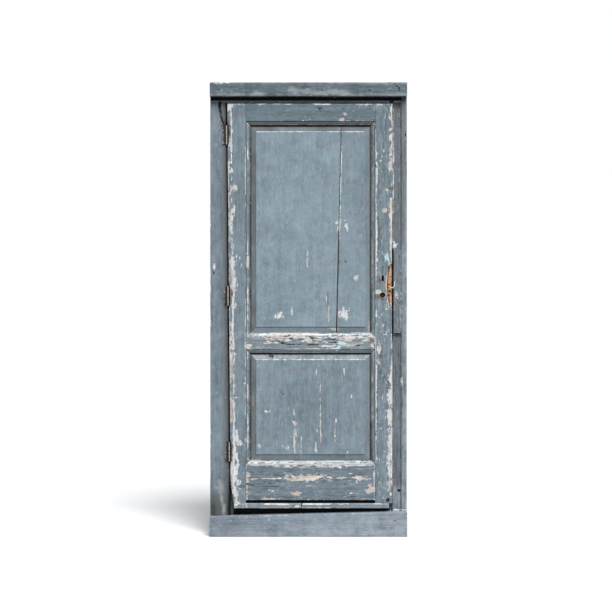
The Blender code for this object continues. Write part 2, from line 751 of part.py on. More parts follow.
def make_leaf(swing, paint, bare):
    """Stiles, rails, panels and foot strip; returns the two stiles."""
    upper, lower = opening_cutters("upper", UPPER_OPENING), opening_cutters("lower", LOWER_OPENING)
    hinge_outline = stile_outline(hinge_edge, FACE_LEFT, OPENING_LEFT)
    lock_outline = stile_outline(lambda z: LOCK_EDGE, FACE_RIGHT, OPENING_RIGHT)
    hinge_stile = board("hinge_stile", hinge_outline, LEAF_FACE, LEAF_BACK, paint)
    lock_stile = board("lock_stile", lock_outline, LEAF_FACE, LEAF_BACK, paint)
    rails = {
        "top_rail": (UPPER_TOP, LEAF_TOP, upper, ()),
        "lock_rail": (LOWER_TOP, UPPER_FOOT, lower, upper),
        "bottom_rail": (STILE_FOOT, LOWER_FOOT, (), lower),
    }
    made = [hinge_stile, lock_stile]
    for name, (foot, top, below, above) in rails.items():
        rail = board(name, rail_outline(foot, top, bool(below), bool(above)), LEAF_FACE, LEAF_BACK, paint)
        join(rail, *tenons(f"{name}_tenon", foot, top, 0))
        cut(rail, *below, *above)
        for stile, mortise in zip((hinge_stile, lock_stile), tenons(f"{name}_mortise", foot, top, FIT)):
            cut(stile, mortise)
        made.append(rail)
    cut(hinge_stile, *upper, *lower)
    cut(lock_stile, *upper, *lower)
    slot = block(
        "foot_slot",
        (FACE_LEFT - CUT_OVER, FACE_RIGHT + CUT_OVER),
        (LEAF_FACE - CUT_OVER, LEAF_FACE + FOOT_SLOT_DEPTH),
        (STILE_FOOT - CUT_OVER, STILE_FOOT + FOOT_SLOT_HEIGHT),
    )
    cut(made[-1], slot)
    made += make_panels(paint, bare) + make_foot_strip(paint)
    for piece in made:
        carry(piece, swing)
    return hinge_stile, lock_stile


def make_panels(paint, bare):
    """The upper panel's two boards with their loose tongue, and the lower panel."""
    hinge_board = panel_board("upper_panel_hinge_board", -JOINT_GAP / 2, -1, paint)
    lock_board = panel_board("upper_panel_lock_board", JOINT_GAP / 2, 1, paint)
    tongue = joint_strip("panel_tongue", 0, bare)
    slot = joint_strip("panel_tongue_slot", FIT)
    cut(hinge_board, slot)
    cut(lock_board, slot)
    lower = to_object("lower_panel", fielded_panel(LOWER_OPENING), paint)
    return [hinge_board, lock_board, tongue, lower]


def make_foot_strip(paint):
    """Two lengths of weather strip under the stiles, butted end to end."""
    top, foot = STILE_FOOT - FIT, LEAF_FOOT
    front = LEAF_FACE - FOOT_STRIP_PROUD
    half_gap = FOOT_STRIP_JOINT_GAP / 2
    joint = hinge_edge(foot) + FOOT_STRIP_JOINT_SHARE * (LOCK_EDGE - hinge_edge(foot))
    lengths = {
        "foot_strip_hinge_end": (hinge_edge(foot) + FOOT_STRIP_INSET, joint - half_gap),
        "foot_strip_lock_end": (joint + half_gap, LOCK_EDGE - FOOT_STRIP_INSET),
    }
    strips = []
    for name, (left, right) in lengths.items():
        bm = outline_mesh(rectangle(left, right, foot, top), front, LEAF_BACK)
        corner = [
            e
            for e in bm.edges
            if all(abs(v.co.y - front) < FIT and abs(v.co.z - top) < FIT for v in e.verts)
        ]
        bmesh.ops.bevel(
            bm,
            geom=corner,
            offset=min(FOOT_STRIP_EASE, FOOT_STRIP_PROUD - FIT),
            segments=1,
            profile=0.5,
            affect="EDGES",
            material=-1,
        )
        strips.append(to_object(name, bm, paint))
    return strips


def knuckle_span(number):
    """Foot and top of one knuckle, measured from the middle of the hinge."""
    height = HINGE_LENGTH / KNUCKLES
    foot = -HINGE_LENGTH / 2 + number * height
    return foot + FIT / 2, foot + height - FIT / 2


def flap(name, plate, own_knuckles, material):
    """A hinge flap: a plate notched round the other flap's knuckles and rolled into its own."""
    body = block(name, *plate, (-HINGE_LENGTH / 2, HINGE_LENGTH / 2), material)
    notches, knuckles = [], []
    for number in range(KNUCKLES):
        foot, top = knuckle_span(number)
        if number in own_knuckles:
            knuckles.append(ring(f"{name}_knuckle_{number}", PIN_RADIUS + FIT, BARREL_RADIUS, foot, top))
        else:
            room = FIT * 1.5
            notches.append(rod(f"{name}_notch_{number}", BARREL_RADIUS + FIT * 2, foot - room, top + room))
    cut(body, *notches)
    join(body, *knuckles)
    return body, notches + knuckles


def make_hinge(label, height, root, swing, hinge_jamb, hinge_stile, iron):
    """One butt hinge: the jamb flap and pin stay on the frame, the leaf flap swings."""
    where, lean = (hinge_axis(height), HINGE_AXIS_Y, height), (0, -LEAN_ANGLE, 0)
    fixed = empty(f"{label}_hinge_fixed", where, lean, root)
    moving = empty(f"{label}_hinge_moving", where, lean, swing)
    back = (BARREL_RADIUS - FLAP_THICKNESS - FIT, BARREL_RADIUS - FIT)
    root_end = FLAP_THICKNESS / 3
    jamb_flap, helpers = flap(f"{label}_hinge_jamb_flap", ((-FLAP_WIDTH, root_end), back), (0, 2, 4), iron)
    for piece in [jamb_flap] + helpers:
        place(piece, fixed)
    leaf_flap, helpers = flap(f"{label}_hinge_leaf_flap", (back, (-root_end, FLAP_WIDTH)), (1, 3), iron)
    for piece in [leaf_flap] + helpers:
        place(piece, moving)
    reach = HINGE_LENGTH / 2 + FIT
    tip = reach + PIN_HEAD_HEIGHT
    profile = [(0, tip), (PIN_RADIUS, tip), (PIN_HEAD_RADIUS, reach), (PIN_RADIUS, reach)]
    profile += [(radius, -z) for radius, z in reversed(profile)]
    place(turned(f"{label}_hinge_pin", profile, ROUND_SIDES, iron), fixed)
    for end, side in (("upper", 1), ("lower", -1)):
        z = side * SCREW_SPREAD / 2
        drive(
            f"{label}_hinge_jamb_screw_{end}",
            screw,
            fixed,
            (-SCREW_FROM_AXIS, back[0], z),
            FACING_FRONT,
            (jamb_flap, hinge_jamb),
            iron,
        )
        drive(
            f"{label}_hinge_leaf_screw_{end}",
            screw,
            moving,
            (back[0], SCREW_FROM_AXIS, z),
            FACING_HINGE_SIDE,
            (leaf_flap, hinge_stile),
            iron,
        )


def make_lock(swing, lock_stile, iron):
    """A mortise lock in the stile's edge: case, cover, faceplate, dead bolt, latch bolt and spindle hub."""
    case_front = LOCK_EDGE - FACEPLATE_THICKNESS - FIT
    case_x = (case_front - CASE_DEPTH, case_front)
    case_z = (LOCK_HEIGHT - CASE_HEIGHT / 2, LOCK_HEIGHT + CASE_HEIGHT / 2)
    near, far = LOCK_Y - CASE_THICKNESS / 2, LOCK_Y + CASE_THICKNESS / 2
    case = block("lock_case", case_x, (near, far - CASE_WALL - FIT), case_z, iron)
    inside_x = [case_x[0] + CASE_WALL, case_x[1] - CASE_WALL]
    inside_z = [case_z[0] + CASE_WALL, case_z[1] - CASE_WALL]
    hollow = block("lock_case_hollow", inside_x, (near + CASE_WALL, far + CUT_OVER), inside_z)
    cover = block("lock_cover", case_x, (far - CASE_WALL, far), case_z, iron)
    plate_half = FACEPLATE_HEIGHT / 2
    plate_y = (LOCK_Y - FACEPLATE_WIDTH / 2, LOCK_Y + FACEPLATE_WIDTH / 2)
    faceplate = block(
        "lock_faceplate",
        (LOCK_EDGE - FACEPLATE_THICKNESS, LOCK_EDGE),
        plate_y,
        (LOCK_HEIGHT - plate_half, LOCK_HEIGHT + plate_half),
        iron,
    )
    bolt_y = (LOCK_Y - BOLT_THICKNESS / 2, LOCK_Y + BOLT_THICKNESS / 2)
    dead_z = (KEYHOLE_Z - DEAD_BOLT_HEIGHT / 2, KEYHOLE_Z + DEAD_BOLT_HEIGHT / 2)
    latch_z = (LATCH_FOOT, LATCH_FOOT + LATCH_HEIGHT)
    ways = [bolt_way(label, span, bolt_y) for label, span in (("dead_bolt", dead_z), ("latch", latch_z))]
    keyhole = block(
        "keyhole",
        (SPINDLE_X - KEYHOLE_WIDTH / 2, SPINDLE_X + KEYHOLE_WIDTH / 2),
        (LEAF_FACE - CUT_OVER, LEAF_BACK + CUT_OVER),
        (KEYHOLE_Z - KEYHOLE_HEIGHT / 2, KEYHOLE_Z + KEYHOLE_HEIGHT / 2),
    )
    boss_hole = rod("hub_boss_hole", HUB_BOSS_RADIUS + FIT, -LEAF_THICKNESS, LEAF_THICKNESS)
    spindle_hole = rod("spindle_hole", SPINDLE_HOLE_RADIUS, -LEAF_THICKNESS, LEAF_THICKNESS)
    for hole in (boss_hole, spindle_hole):
        place(hole, swing, Vector((SPINDLE_X, LOCK_Y, SPINDLE_Z)) - swing.location, FACING_FRONT)
    cut(case, hollow, *ways, keyhole, boss_hole)
    cut(cover, keyhole, boss_hole)
    cut(faceplate, *ways)
    mortise = block(
        "lock_mortise",
        (case_x[0] - FIT, LOCK_EDGE + CUT_OVER),
        (near - FIT, far + FIT),
        (case_z[0] - FIT, case_z[1] + FIT),
    )
    recess = block(
        "faceplate_recess",
        (LOCK_EDGE - FACEPLATE_THICKNESS - FIT, LOCK_EDGE + CUT_OVER),
        (plate_y[0] - FIT, plate_y[1] + FIT),
        (LOCK_HEIGHT - plate_half - FIT, LOCK_HEIGHT + plate_half + FIT),
    )
    cut(lock_stile, mortise, recess, keyhole, spindle_hole, broken_arris())
    for piece in (case, cover, faceplate):
        carry(piece, swing)
    for end, side in (("upper", 1), ("lower", -1)):
        where = Vector((LOCK_EDGE, LOCK_Y, LOCK_HEIGHT + side * FACEPLATE_SCREW_SPREAD / 2)) - swing.location
        drive(f"faceplate_screw_{end}", screw, swing, where, FACING_LOCK_SIDE, (faceplate, lock_stile), iron)
    make_bolts(swing, bolt_y, dead_z, iron)
    return dead_z, latch_z, bolt_y


def bolt_way(label, z_span, y_span):
    """The hole that a bolt slides through in the case's front wall and the faceplate."""
    return block(
        f"{label}_way",
        (LOCK_EDGE - FACEPLATE_THICKNESS - CASE_WALL - CUT_OVER, LOCK_EDGE + CUT_OVER),
        (y_span[0] - FIT, y_span[1] + FIT),
        (z_span[0] - BOLT_WAY, z_span[1] + BOLT_WAY),
    )


def broken_arris():
    """The scoop where the stile's arris has broken away beside the lock."""
    bm = bmesh.new()
    bmesh.ops.create_uvsphere(bm, u_segments=SMALL_SIDES, v_segments=SMALL_SIDES, radius=1)
    stretch = Matrix.Diagonal((BREAK_WIDTH, BREAK_DEPTH, BREAK_LENGTH / 2, 1))
    bmesh.ops.transform(bm, matrix=stretch, verts=bm.verts)
    bmesh.ops.translate(bm, verts=bm.verts, vec=(LOCK_EDGE, LEAF_FACE, LOCK_HEIGHT))
    return to_object("broken_arris", bm)


def make_bolts(swing, bolt_y, dead_z, iron):
    """The dead bolt, the latch bolt with its tail, and the hub that draws the latch."""
    dead = empty("dead_bolt_slide", (LOCK_EDGE, LOCK_Y, KEYHOLE_Z), parent=swing)
    dead_bolt = block("dead_bolt", (LOCK_EDGE - DEAD_BOLT_LENGTH, LOCK_EDGE), bolt_y, dead_z, iron)
    carry(dead_bolt, dead)
    latch = empty("latch_slide", (LOCK_EDGE, LOCK_Y, LATCH_FOOT), parent=swing)
    carry(latch_bolt(bolt_y, iron), latch)
    turn = empty("hub_turn", (SPINDLE_X, LOCK_Y, SPINDLE_Z), parent=swing)
    hub, helpers = spindle_hub(bolt_y, iron)
    for piece in [hub] + helpers:
        carry(piece, turn)


def hub_tip():
    """Middle of the round end of the hub's arm, at rest with the latch drawn in."""
    return (
        SPINDLE_X - HUB_ARM_LENGTH * math.sin(HUB_REST_ANGLE),
        SPINDLE_Z - HUB_ARM_LENGTH * math.cos(HUB_REST_ANGLE),
    )


def latch_bolt(bolt_y, iron):
    """Bevelled head, a tail that runs under the hub and a tooth behind the hub's arm."""
    top, tail_top = LATCH_FOOT + LATCH_HEIGHT, LATCH_FOOT + LATCH_TAIL_HEIGHT
    tooth_front = hub_tip()[0] - HUB_ARM_RADIUS - LATCH_TOOTH_PLAY
    tooth_back = tooth_front - LATCH_TOOTH_WIDTH
    tooth_top = tail_top + LATCH_TOOTH_HEIGHT
    head_back = LOCK_EDGE - LATCH_HEAD_LENGTH
    outline = [(tooth_back, LATCH_FOOT), (LOCK_EDGE, LATCH_FOOT), (LOCK_EDGE, top), (head_back, top)]
    outline += [(head_back, tail_top), (tooth_front, tail_top)]
    outline += [(tooth_front, tooth_top), (tooth_back, tooth_top)]
    bm = outline_mesh(outline, *bolt_y)
    nose = Vector((LOCK_EDGE - LATCH_BEVEL, bolt_y[1], LATCH_FOOT))
    bmesh.ops.recalc_face_normals(bm, faces=bm.faces)
    bmesh.ops.bisect_plane(
        bm,
        geom=bm.verts[:] + bm.edges[:] + bm.faces[:],
        plane_co=nose,
        plane_no=Vector((1, 1, 0)).normalized(),
        clear_outer=True,
    )
    bmesh.ops.holes_fill(bm, edges=[e for e in bm.edges if e.is_boundary])
    return to_object("latch_bolt", bm, iron)


def spindle_hub(bolt_y, iron):
    """A disc with one arm, bosses that turn in the case and cover, and a square hole for the spindle."""
    centre, tip = (SPINDLE_X, SPINDLE_Z), hub_tip()
    down = -math.pi / 2 - HUB_REST_ANGLE
    neck = math.asin(HUB_ARM_RADIUS / HUB_RADIUS)
    outline = arc(centre, HUB_RADIUS, down + neck, down + math.tau - neck, ROUND_SIDES)
    outline += arc(tip, HUB_ARM_RADIUS, down - math.pi / 2, down + math.pi / 2, SMALL_SIDES // 2)
    hub = board("spindle_hub", outline, *bolt_y, iron)
    boss = rod("hub_boss", HUB_BOSS_RADIUS, -CASE_THICKNESS / 2 + FIT, CASE_THICKNESS / 2 - FIT)
    half = HUB_SQUARE / 2
    square = block("hub_square", (-half, half), (-half, half), (-CASE_THICKNESS, CASE_THICKNESS))
    for piece in (boss, square):
        piece.location = (SPINDLE_X, LOCK_Y, SPINDLE_Z)
        piece.rotation_euler = FACING_FRONT
    join(hub, boss)
    cut(hub, square)
    return hub, [boss, square]


def make_strike(root, latch_jamb, dead_z, latch_z, bolt_y, iron):
    """The strike plate on the latch jamb's edge, and the pockets that the bolts shoot into."""
    back = LATCH_JAMB_EDGE - FIT
    front = back - STRIKE_THICKNESS
    half = STRIKE_HEIGHT / 2
    strike = block(
        "strike_plate",
        (front, back),
        (LOCK_Y - STRIKE_WIDTH / 2, LOCK_Y + STRIKE_WIDTH / 2),
        (LOCK_HEIGHT - half, LOCK_HEIGHT + half),
        iron,
    )
    room = STRIKE_POCKET_ROOM
    for label, span in (("dead_bolt", dead_z), ("latch", latch_z)):
        pocket = block(
            f"{label}_pocket",
            (front - CUT_OVER, LATCH_JAMB_EDGE + STRIKE_POCKET_DEPTH),
            (bolt_y[0] - room, bolt_y[1] + room),
            (span[0] - room, span[1] + room),
        )
        cut(strike, pocket)
        cut(latch_jamb, pocket)
    carry(strike, root)
    for end, side in (("upper", 1), ("lower", -1)):
        where = (front, LOCK_Y, LOCK_HEIGHT + side * STRIKE_SCREW_SPREAD / 2)
        drive(f"strike_screw_{end}", screw, root, where, FACING_HINGE_SIDE, (strike, latch_jamb), iron)


def main():
    clear_scene()
    frame_paint = finish("frame_paint", (0.20, 0.25, 0.28), 0.65)
    leaf_paint = finish("leaf_paint", (0.22, 0.28, 0.32), 0.6)
    bare_wood = finish("bare_wood", (0.30, 0.21, 0.14), 0.8)
    rusty_iron = finish("rusty_iron", (0.16, 0.08, 0.05), 0.75, 0.4)
    root = empty("frame", (0, 0, 0))
    swing = empty("leaf_swing", (hinge_axis(0), HINGE_AXIS_Y, 0), parent=root)
    hinge_jamb, latch_jamb = make_frame(root, frame_paint, rusty_iron)
    hinge_stile, lock_stile = make_leaf(swing, leaf_paint, bare_wood)
    for label, height in HINGE_HEIGHTS.items():
        make_hinge(label, height, root, swing, hinge_jamb, hinge_stile, rusty_iron)
    dead_z, latch_z, bolt_y = make_lock(swing, lock_stile, rusty_iron)
    make_strike(root, latch_jamb, dead_z, latch_z, bolt_y, rusty_iron)


main()
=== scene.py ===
"""Looks of an old panel door: worn grey-blue paint, bare and split wood, and rusty ironwork.

Metres, +Z up, the front facing -Y. Marks in the paint are listed in millimetres of the front view:
x from the middle of the sill, z from its underside, then width and height.
"""

import math
import random

import bmesh
import bpy
import numpy as np
from mathutils import Matrix, Vector


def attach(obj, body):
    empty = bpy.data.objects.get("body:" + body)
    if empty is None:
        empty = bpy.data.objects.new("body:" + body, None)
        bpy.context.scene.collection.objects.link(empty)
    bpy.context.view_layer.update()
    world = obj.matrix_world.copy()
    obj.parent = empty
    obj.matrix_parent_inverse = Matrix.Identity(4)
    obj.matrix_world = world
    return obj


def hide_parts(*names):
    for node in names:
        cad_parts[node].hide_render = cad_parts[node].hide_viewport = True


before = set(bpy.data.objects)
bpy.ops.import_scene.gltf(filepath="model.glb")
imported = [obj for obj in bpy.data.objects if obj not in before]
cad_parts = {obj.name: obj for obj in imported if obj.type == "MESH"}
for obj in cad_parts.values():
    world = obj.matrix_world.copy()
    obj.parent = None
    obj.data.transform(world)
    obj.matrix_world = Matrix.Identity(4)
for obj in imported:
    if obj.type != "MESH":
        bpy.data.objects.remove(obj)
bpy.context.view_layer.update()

MM = 0.001

# Camera and light
CAMERA_PLACE = (-0.012, -7.045, 1.136)
CAMERA_LENS = 83.35
SUN_FROM = (0.24, -0.66, 0.92)
SUN_STRENGTH = 3.2
SUN_SPREAD = math.radians(28)
SKY = (0.93, 0.97, 1.0)
SKY_STRENGTH = 0.42
BACKDROP = (1.0, 1.0, 1.0)
FLOOR_PALE = (0.94, 0.94, 0.94)
FLOOR_MOTTLE = 1.03
FLOOR_BOUNCE = (0.20, 0.20, 0.21)

# Mesh
MERGE = 0.00001
FLAT = math.radians(1)
SMOOTH_UNDER = math.radians(28)
ARRIS_EASE = 0.0012
ARRIS_LONG = 0.030
ARRIS_SHARP = math.radians(60)
ARRIS_TURN = math.radians(22)
FINEST = 0.003
FINE = 0.004
PLAIN = 0.0055
HIDDEN = 0.016
SPREAD_ROUNDS = 8
FAR = 1.0
SEED_SHIFT = 17.31
HASH_STEPS = (127.1, 311.7, 74.7)
HASH_SCALE = 43758.5453

# Finishes, in linear colour
UPRIGHT, LEVEL = 2, 0
# Paints: colour, axis of the grain, where pale flecks begin, strength of the grain and of its cracks
PAINTS = {
    "panel": ((0.268, 0.345, 0.398), UPRIGHT, 0.70, 0.6, 0.3),
    "lock_board": ((0.252, 0.324, 0.374), UPRIGHT, 0.70, 0.7, 0.3),
    "lower_panel": ((0.238, 0.303, 0.349), UPRIGHT, 0.70, 1.0, 0.3),
    "hinge_stile": ((0.216, 0.275, 0.317), UPRIGHT, 0.69, 1.3, 0.3),
    "lock_stile": ((0.206, 0.260, 0.296), UPRIGHT, 0.63, 2.2, 0.6),
    "foot_strip": ((0.236, 0.292, 0.330), LEVEL, 0.68, 1.4, 0.3),
    # The top rail's paint is darker partly as painted shade from the head casing
    "top_rail": ((0.158, 0.215, 0.250), LEVEL, 0.71, 1.3, 0.5),
    "lock_rail": ((0.230, 0.281, 0.314), LEVEL, 0.68, 1.6, 0.8),
    "bottom_rail": ((0.196, 0.248, 0.286), LEVEL, 0.70, 1.5, 1.0),
    "hinge_jamb": ((0.218, 0.272, 0.314), UPRIGHT, 0.74, 1.6, 0.25),
    "latch_jamb": ((0.168, 0.198, 0.224), UPRIGHT, 0.71, 2.2, 0.6),
    "latch_casing": ((0.226, 0.270, 0.305), UPRIGHT, 0.70, 2.2, 0.5),
    "head": ((0.130, 0.172, 0.199), LEVEL, 0.73, 1.8, 0.5),
    "head_jamb": ((0.250, 0.285, 0.300), LEVEL, 0.73, 1.8, 0.5),
    "sill": ((0.282, 0.336, 0.395), LEVEL, 0.72, 1.5, 0.4),
    "patch": ((0.192, 0.217, 0.245), UPRIGHT, 0.69, 2.0, 0.4),
}
# Boards: paint, size of the mesh cells and how far the arrises are worn
FRAME_BOARDS = {
    "sill": ("sill", PLAIN, 0.0015),
    "hinge_jamb": ("hinge_jamb", PLAIN, 0.0012),
    "latch_jamb": ("latch_jamb", PLAIN, 0.0006),
    "head_jamb": ("head_jamb", PLAIN, 0.0010),
    "head_casing": ("head", FINE, 0.0006),
    "latch_casing": ("latch_casing", FINE, 0.0008),
    "strike_patch": ("patch", FINE, 0.0020),
    "hinge_stop": ("hinge_jamb", HIDDEN, 0.0010),
    "latch_stop": ("hinge_jamb", HIDDEN, 0.0010),
    "head_stop": ("head", HIDDEN, 0.0010),
    "sill_stop": ("sill", HIDDEN, 0.0010),
}
LEAF_BOARDS = {
    "hinge_stile": ("hinge_stile", FINE, 0.0022),
    "lock_stile": ("lock_stile", FINE, 0.0036),
    "top_rail": ("top_rail", FINE, 0.0014),
    "lock_rail": ("lock_rail", FINEST, 0.0040),
    "bottom_rail": ("bottom_rail", FINE, 0.0018),
    "upper_panel_hinge_board": ("panel", FINE, 0.0010),
    "upper_panel_lock_board": ("lock_board", FINE, 0.0010),
    "lower_panel": ("lower_panel", FINE, 0.0012),
    "foot_strip_hinge_end": ("foot_strip", FINE, 0.0040),
    "foot_strip_lock_end": ("foot_strip", FINE, 0.0040),
}
SEEDS_PER_BOARD = 7
# Chalky paint, laid also as painted light beside the latch casing and on the mouldings
CHALK_AND_LIGHT = (0.46, 0.50, 0.515)
SMEAR = (0.39, 0.425, 0.435)
PRIMER = (0.93, 0.945, 0.95)
PRIMER_WARM = (0.80, 0.80, 0.79)
BARE_LIGHT = (0.88, 0.80, 0.70)
BARE_PINK = (0.60, 0.51, 0.455)
MINT = (0.66, 0.85, 0.87)
ROT_LIGHT = (0.26, 0.20, 0.165)
ROT_DARK = (0.085, 0.062, 0.050)
SPLIT_LIGHT = (0.97, 0.62, 0.35)
SPLIT_MIDDLE = (0.47, 0.25, 0.12)
SPLIT_DARK = (0.045, 0.025, 0.014)
RUST_STAIN = (0.115, 0.058, 0.040)
# Black and brown of grime, laid also as painted shade in gaps, corners and grooves
GRIME_AND_SHADE_BLACK = (0.016, 0.015, 0.013)
GRIME_AND_SHADE_BROWN = (0.090, 0.080, 0.068)
RUST_DARK = (0.030, 0.018, 0.015)
RUST_LIGHT = (0.090, 0.048, 0.036)
RUST_PALE = (0.42, 0.33, 0.28)
# Painted highlight down the front of the hinge knuckles, mixed with dark rust
KNUCKLE_HIGHLIGHT = (0.62, 0.585, 0.565)
CURL_WHITE = (0.84, 0.84, 0.83)
COOL_TINT = (0.96, 1.02, 1.0)
VIOLET_TINT = (1.03, 0.985, 1.01)

# Noises: scale, detail and roughness
STREAK = (70.0, 5.0, 0.62)
FIBRE = (260.0, 4.0, 0.66)
DRIFT = (2.3, 3.0, 0.55)
BLOTCH = (15.0, 6.0, 0.66)
FLAKE = (95.0, 6.0, 0.74)
SPECK = (210.0, 5.0, 0.72)
TINT = (24.0, 3.0, 0.55)
CRACK = (46.0, 3.0, 0.6)
CRACKED_AREA = (11.0, 3.0, 0.55)
RUST_BROAD = (75.0, 6.0, 0.7)
RUST_PITS = (420.0, 5.0, 0.7)
RUST_SCALE = (170.0, 4.0, 0.6)
TIMBER_GRAIN = (1.0, 6.0, 0.62)
TIMBER_FIBRE = (1.0, 3.0, 0.6)
CURL_CLOUD = (300.0, 4.0, 0.55)
FLOOR_CLOUD = (0.8, 2.0, 0.55)
GRAIN_STRETCH = 0.05
FLAKE_STRETCH = 0.42
TIMBER_GRAIN_STRETCH = (260.0, 260.0, 9.0)
TIMBER_FIBRE_STRETCH = (900.0, 900.0, 40.0)

# Steps of a finish: from and to, then the least and the most where these aren't 0 and 1
CHIPPED = (0.30, 0.70)
RAGGED = (0.87, 0.95)
EVEN = (0.38, 0.62)
NEARLY_EVEN = (0.36, 0.64)
CRACK_LINE = (0.004, 0.016, 1.0, 0.0)
CRACK_LIP = (0.012, 0.032, 1.0, 0.0)
CRACKS_OPEN = (0.46, 0.60)
LIPS_SHOW = (0.52, 0.60)
CHALKED_AND_LIT = (0.55, 0.95)
SPECKED = (0.82, 0.90)
PRIMER_SOILED = (0.60, 1.05, 1.05, 0.66)
WOOD_FIBRE = (0.50, 0.75, 0.0, 0.65)
TORN_FIBRE = (0.34, 0.62)
RUST_RUNS = (0.25, 0.85)
RUST_FLAKES = (0.34, 0.56)
DIRT_AND_SHADE_BROWN = (0.22, 0.78, 0.0, 0.72)
DIRT_AND_SHADE_BLACK = (0.72, 1.02)
SMEARED = (0.62, 1.18, 0.0, 0.74)
PAINT_ROUGHNESS = (0.0, 1.3, 0.50, 0.88)
PAINT_SHEEN = (0.55, 1.0, 0.32, 0.02)
IRON_TONES = (0.36, 0.66)
IRON_PALE_PITS = (0.58, 0.68, 0.0, 0.7)
IRON_COAT = IRON_CHIPS = (0.86, 0.90)
IRON_COAT_PULL = 0.36
IRON_ROUGHNESS = (0.3, 0.7, 0.62, 0.92)
FLAP_RUSTED = (-0.030, -0.008)
KNUCKLE_PROUD = (0.0300, 0.0320)
KNUCKLE_WORN = (0.34, 0.50)
KNUCKLE_SHADED = (0.0, 0.002)
# Painted shade on the flap beside each knuckle, broken up like dark rust: where it ends on either side,
# and its patches
KNUCKLE_SHADE_RIGHT = (-0.0066, -0.0046, 1.0, 0.0)
KNUCKLE_SHADE_LEFT = (-0.0165, -0.0125)
KNUCKLE_SHADE_PATCHES = (0.36, 0.46)
TIMBER_TONES = (0.34, 0.66)
TIMBER_DARK_FIBRE = (0.60, 0.72, 0.0, 0.6)
TIMBER_ROUGHNESS = (0.3, 0.7, 0.70, 0.92)
CURL_ROUGHNESS = (0.3, 0.7, 0.55, 0.8)
# Strength and depth of the bumps
PAINT_BUMP = (0.85, 0.0011)
IRON_BUMP = (0.9, 0.0008)
TIMBER_BUMP = (0.8, 0.0007)
CURL_BUMP = (0.5, 0.0004)

# Shared places, as in the part
LEAF_FACE = -0.045
HINGE_EDGE_AT_FLOOR = -0.380
HINGE_LEAN = 0.008713
HINGE_AXIS_AT_FLOOR = -0.3858
HINGE_JAMB_EDGE_AT_FLOOR = -0.3845
HINGE_HEIGHTS = (0.4149, 1.186, 1.981)
HINGE_HALF = 0.0475
LOCK_EDGE = 0.4125
LATCH_JAMB_EDGE = 0.417
STRIP_EDGE = 0.4595
JAMB_FACE_REACH = -0.024
BREAK_MIDDLE = (0.4125, -0.045, 1.232)
BREAK_RADII = (0.024, 0.013, 0.110)
OPENING_SIDES = (-0.2874, 0.3085)
UPPER_HEIGHTS = (1.0042, 2.027)
LOWER_HEIGHTS = (0.3732, 0.8992)
BEVEL_WIDTH = 0.027
MOULD_WIDTH = 0.022
LOCK_RAIL_MIDDLE = 0.955
PANEL_JOINT_FOOT, PANEL_JOINT_TOP = 0.1385, 0.1625
TOP_JOINT_FOOT = 2.040
JOINTS = (-0.3094, 0.3305)
RAIL_GROOVE_TOP = 0.176
PATCH_EDGE = 0.420
PATCH_HEIGHTS = (1.003, 1.415)
HEAD_SHADE_FOOT = 2.149
SPINDLE_PLACE = (0.3675, -0.0185, 1.1905)

# Pieces that the part has no solids for
SPINDLE_SQUARE = 0.0074
SPINDLE_ENDS = (-0.0330, -0.0095)
LEVER_FRONTS = (-0.0212, -0.0192, -0.0172)
LEVER_THICKNESS = 0.0014
LEVER_LIFT = 0.002
LEVER_SIDES = (0.3455, 0.3755)
LEVER_HEIGHTS = (1.2530, 1.2930)
CURL_PATH = [
    (0.4075, -0.0462, 1.2290),
    (0.4120, -0.0490, 1.2262),
    (0.4170, -0.0515, 1.2266),
    (0.4215, -0.0525, 1.2305),
    (0.4240, -0.0525, 1.2375),
    (0.4252, -0.0515, 1.2470),
    (0.4258, -0.0500, 1.2580),
]
CURL_WIDTH = 0.0060
CURL_TAPER = 0.5
CURL_THICKNESS = 0.0004
SPLINTER_COUNT = 7
SPLINTER_TIP = 0.12
SPLINTER_ROOM = 0.105
SPLINTER_SUNK = 0.9
SPLINTER_LEANS = (-0.14, 0.14), (-0.10, 0.10)

# Wear: fields are 1 in the middle of a mark and this at its edge
AT_EDGE = 0.5
NARROWEST = 0.0023
MARK_REACH = 3
# Size of the lumps that make a mark's edge sway, and how far, as a share of half the mark
MARK_SWAY = ((0.018, 0.45), (0.007, 0.40))
FRONT_TURN = 0.2
FRONT_DEPTH = 0.024
# Patchiness: its mean, then the share, size and seed of each layer of lumps on it
PATCHES = {
    "arris": (0.5, (0.75, 0.11, 20), (0.35, 0.03, 21)),
    "arris_bare": (0.0, (1.0, 0.07, 23)),
    "arris_worn": (0.0, (0.0008, 0.02, 3)),
    "board": (0.000175, (0.000175, 0.09, 0)),
    "rot": (0.5, (0.5, (0.03, 0.004, 0.004), 5)),
    "split": (0.5, (0.5, (0.0035, 0.0035, 0.05), 6)),
    "torn": (0.0, (0.20, (0.005, 0.005, 0.035), 3), (0.12, 0.008, 4)),
    "joint_white": (0.62, (0.45, 0.05, 3)),
    "panel_shade_and_dirt": (0.85, (0.30, 0.05, 0)),
    "field_white": (0.73, (0.22, 0.06, 1)),
    "mould_bare": (0.56, (0.25, (0.05, 0.01, 0.01), 9)),
    "crest_white": (0.58, (0.50, (0.02, 0.02, 0.06), 36)),
    "rail_white": (0.92, (0.35, (0.09, 0.02, 0.004), 37)),
    "break_line": (0.0165, (0.0045, 0.07, 31), (0.002, 0.018, 32)),
    "break_white": (0.0, (0.22, 0.05, 33)),
    "edge_white": (0.37, (0.34, (0.01, 0.01, 0.03), 34)),
    "edge_bare": (0.34, (0.40, 0.12, 35)),
    "jamb_foot": (0.36, (0.36, (0.03, 0.03, 0.12), 41)),
    "top_dirt": (0.288, (0.144, 0.03, 42)),
}
ARRIS_SHARES = (0.02, 1.5)
BARE_ARRIS = 0.25
BARE_ARRIS_FROM = 0.50
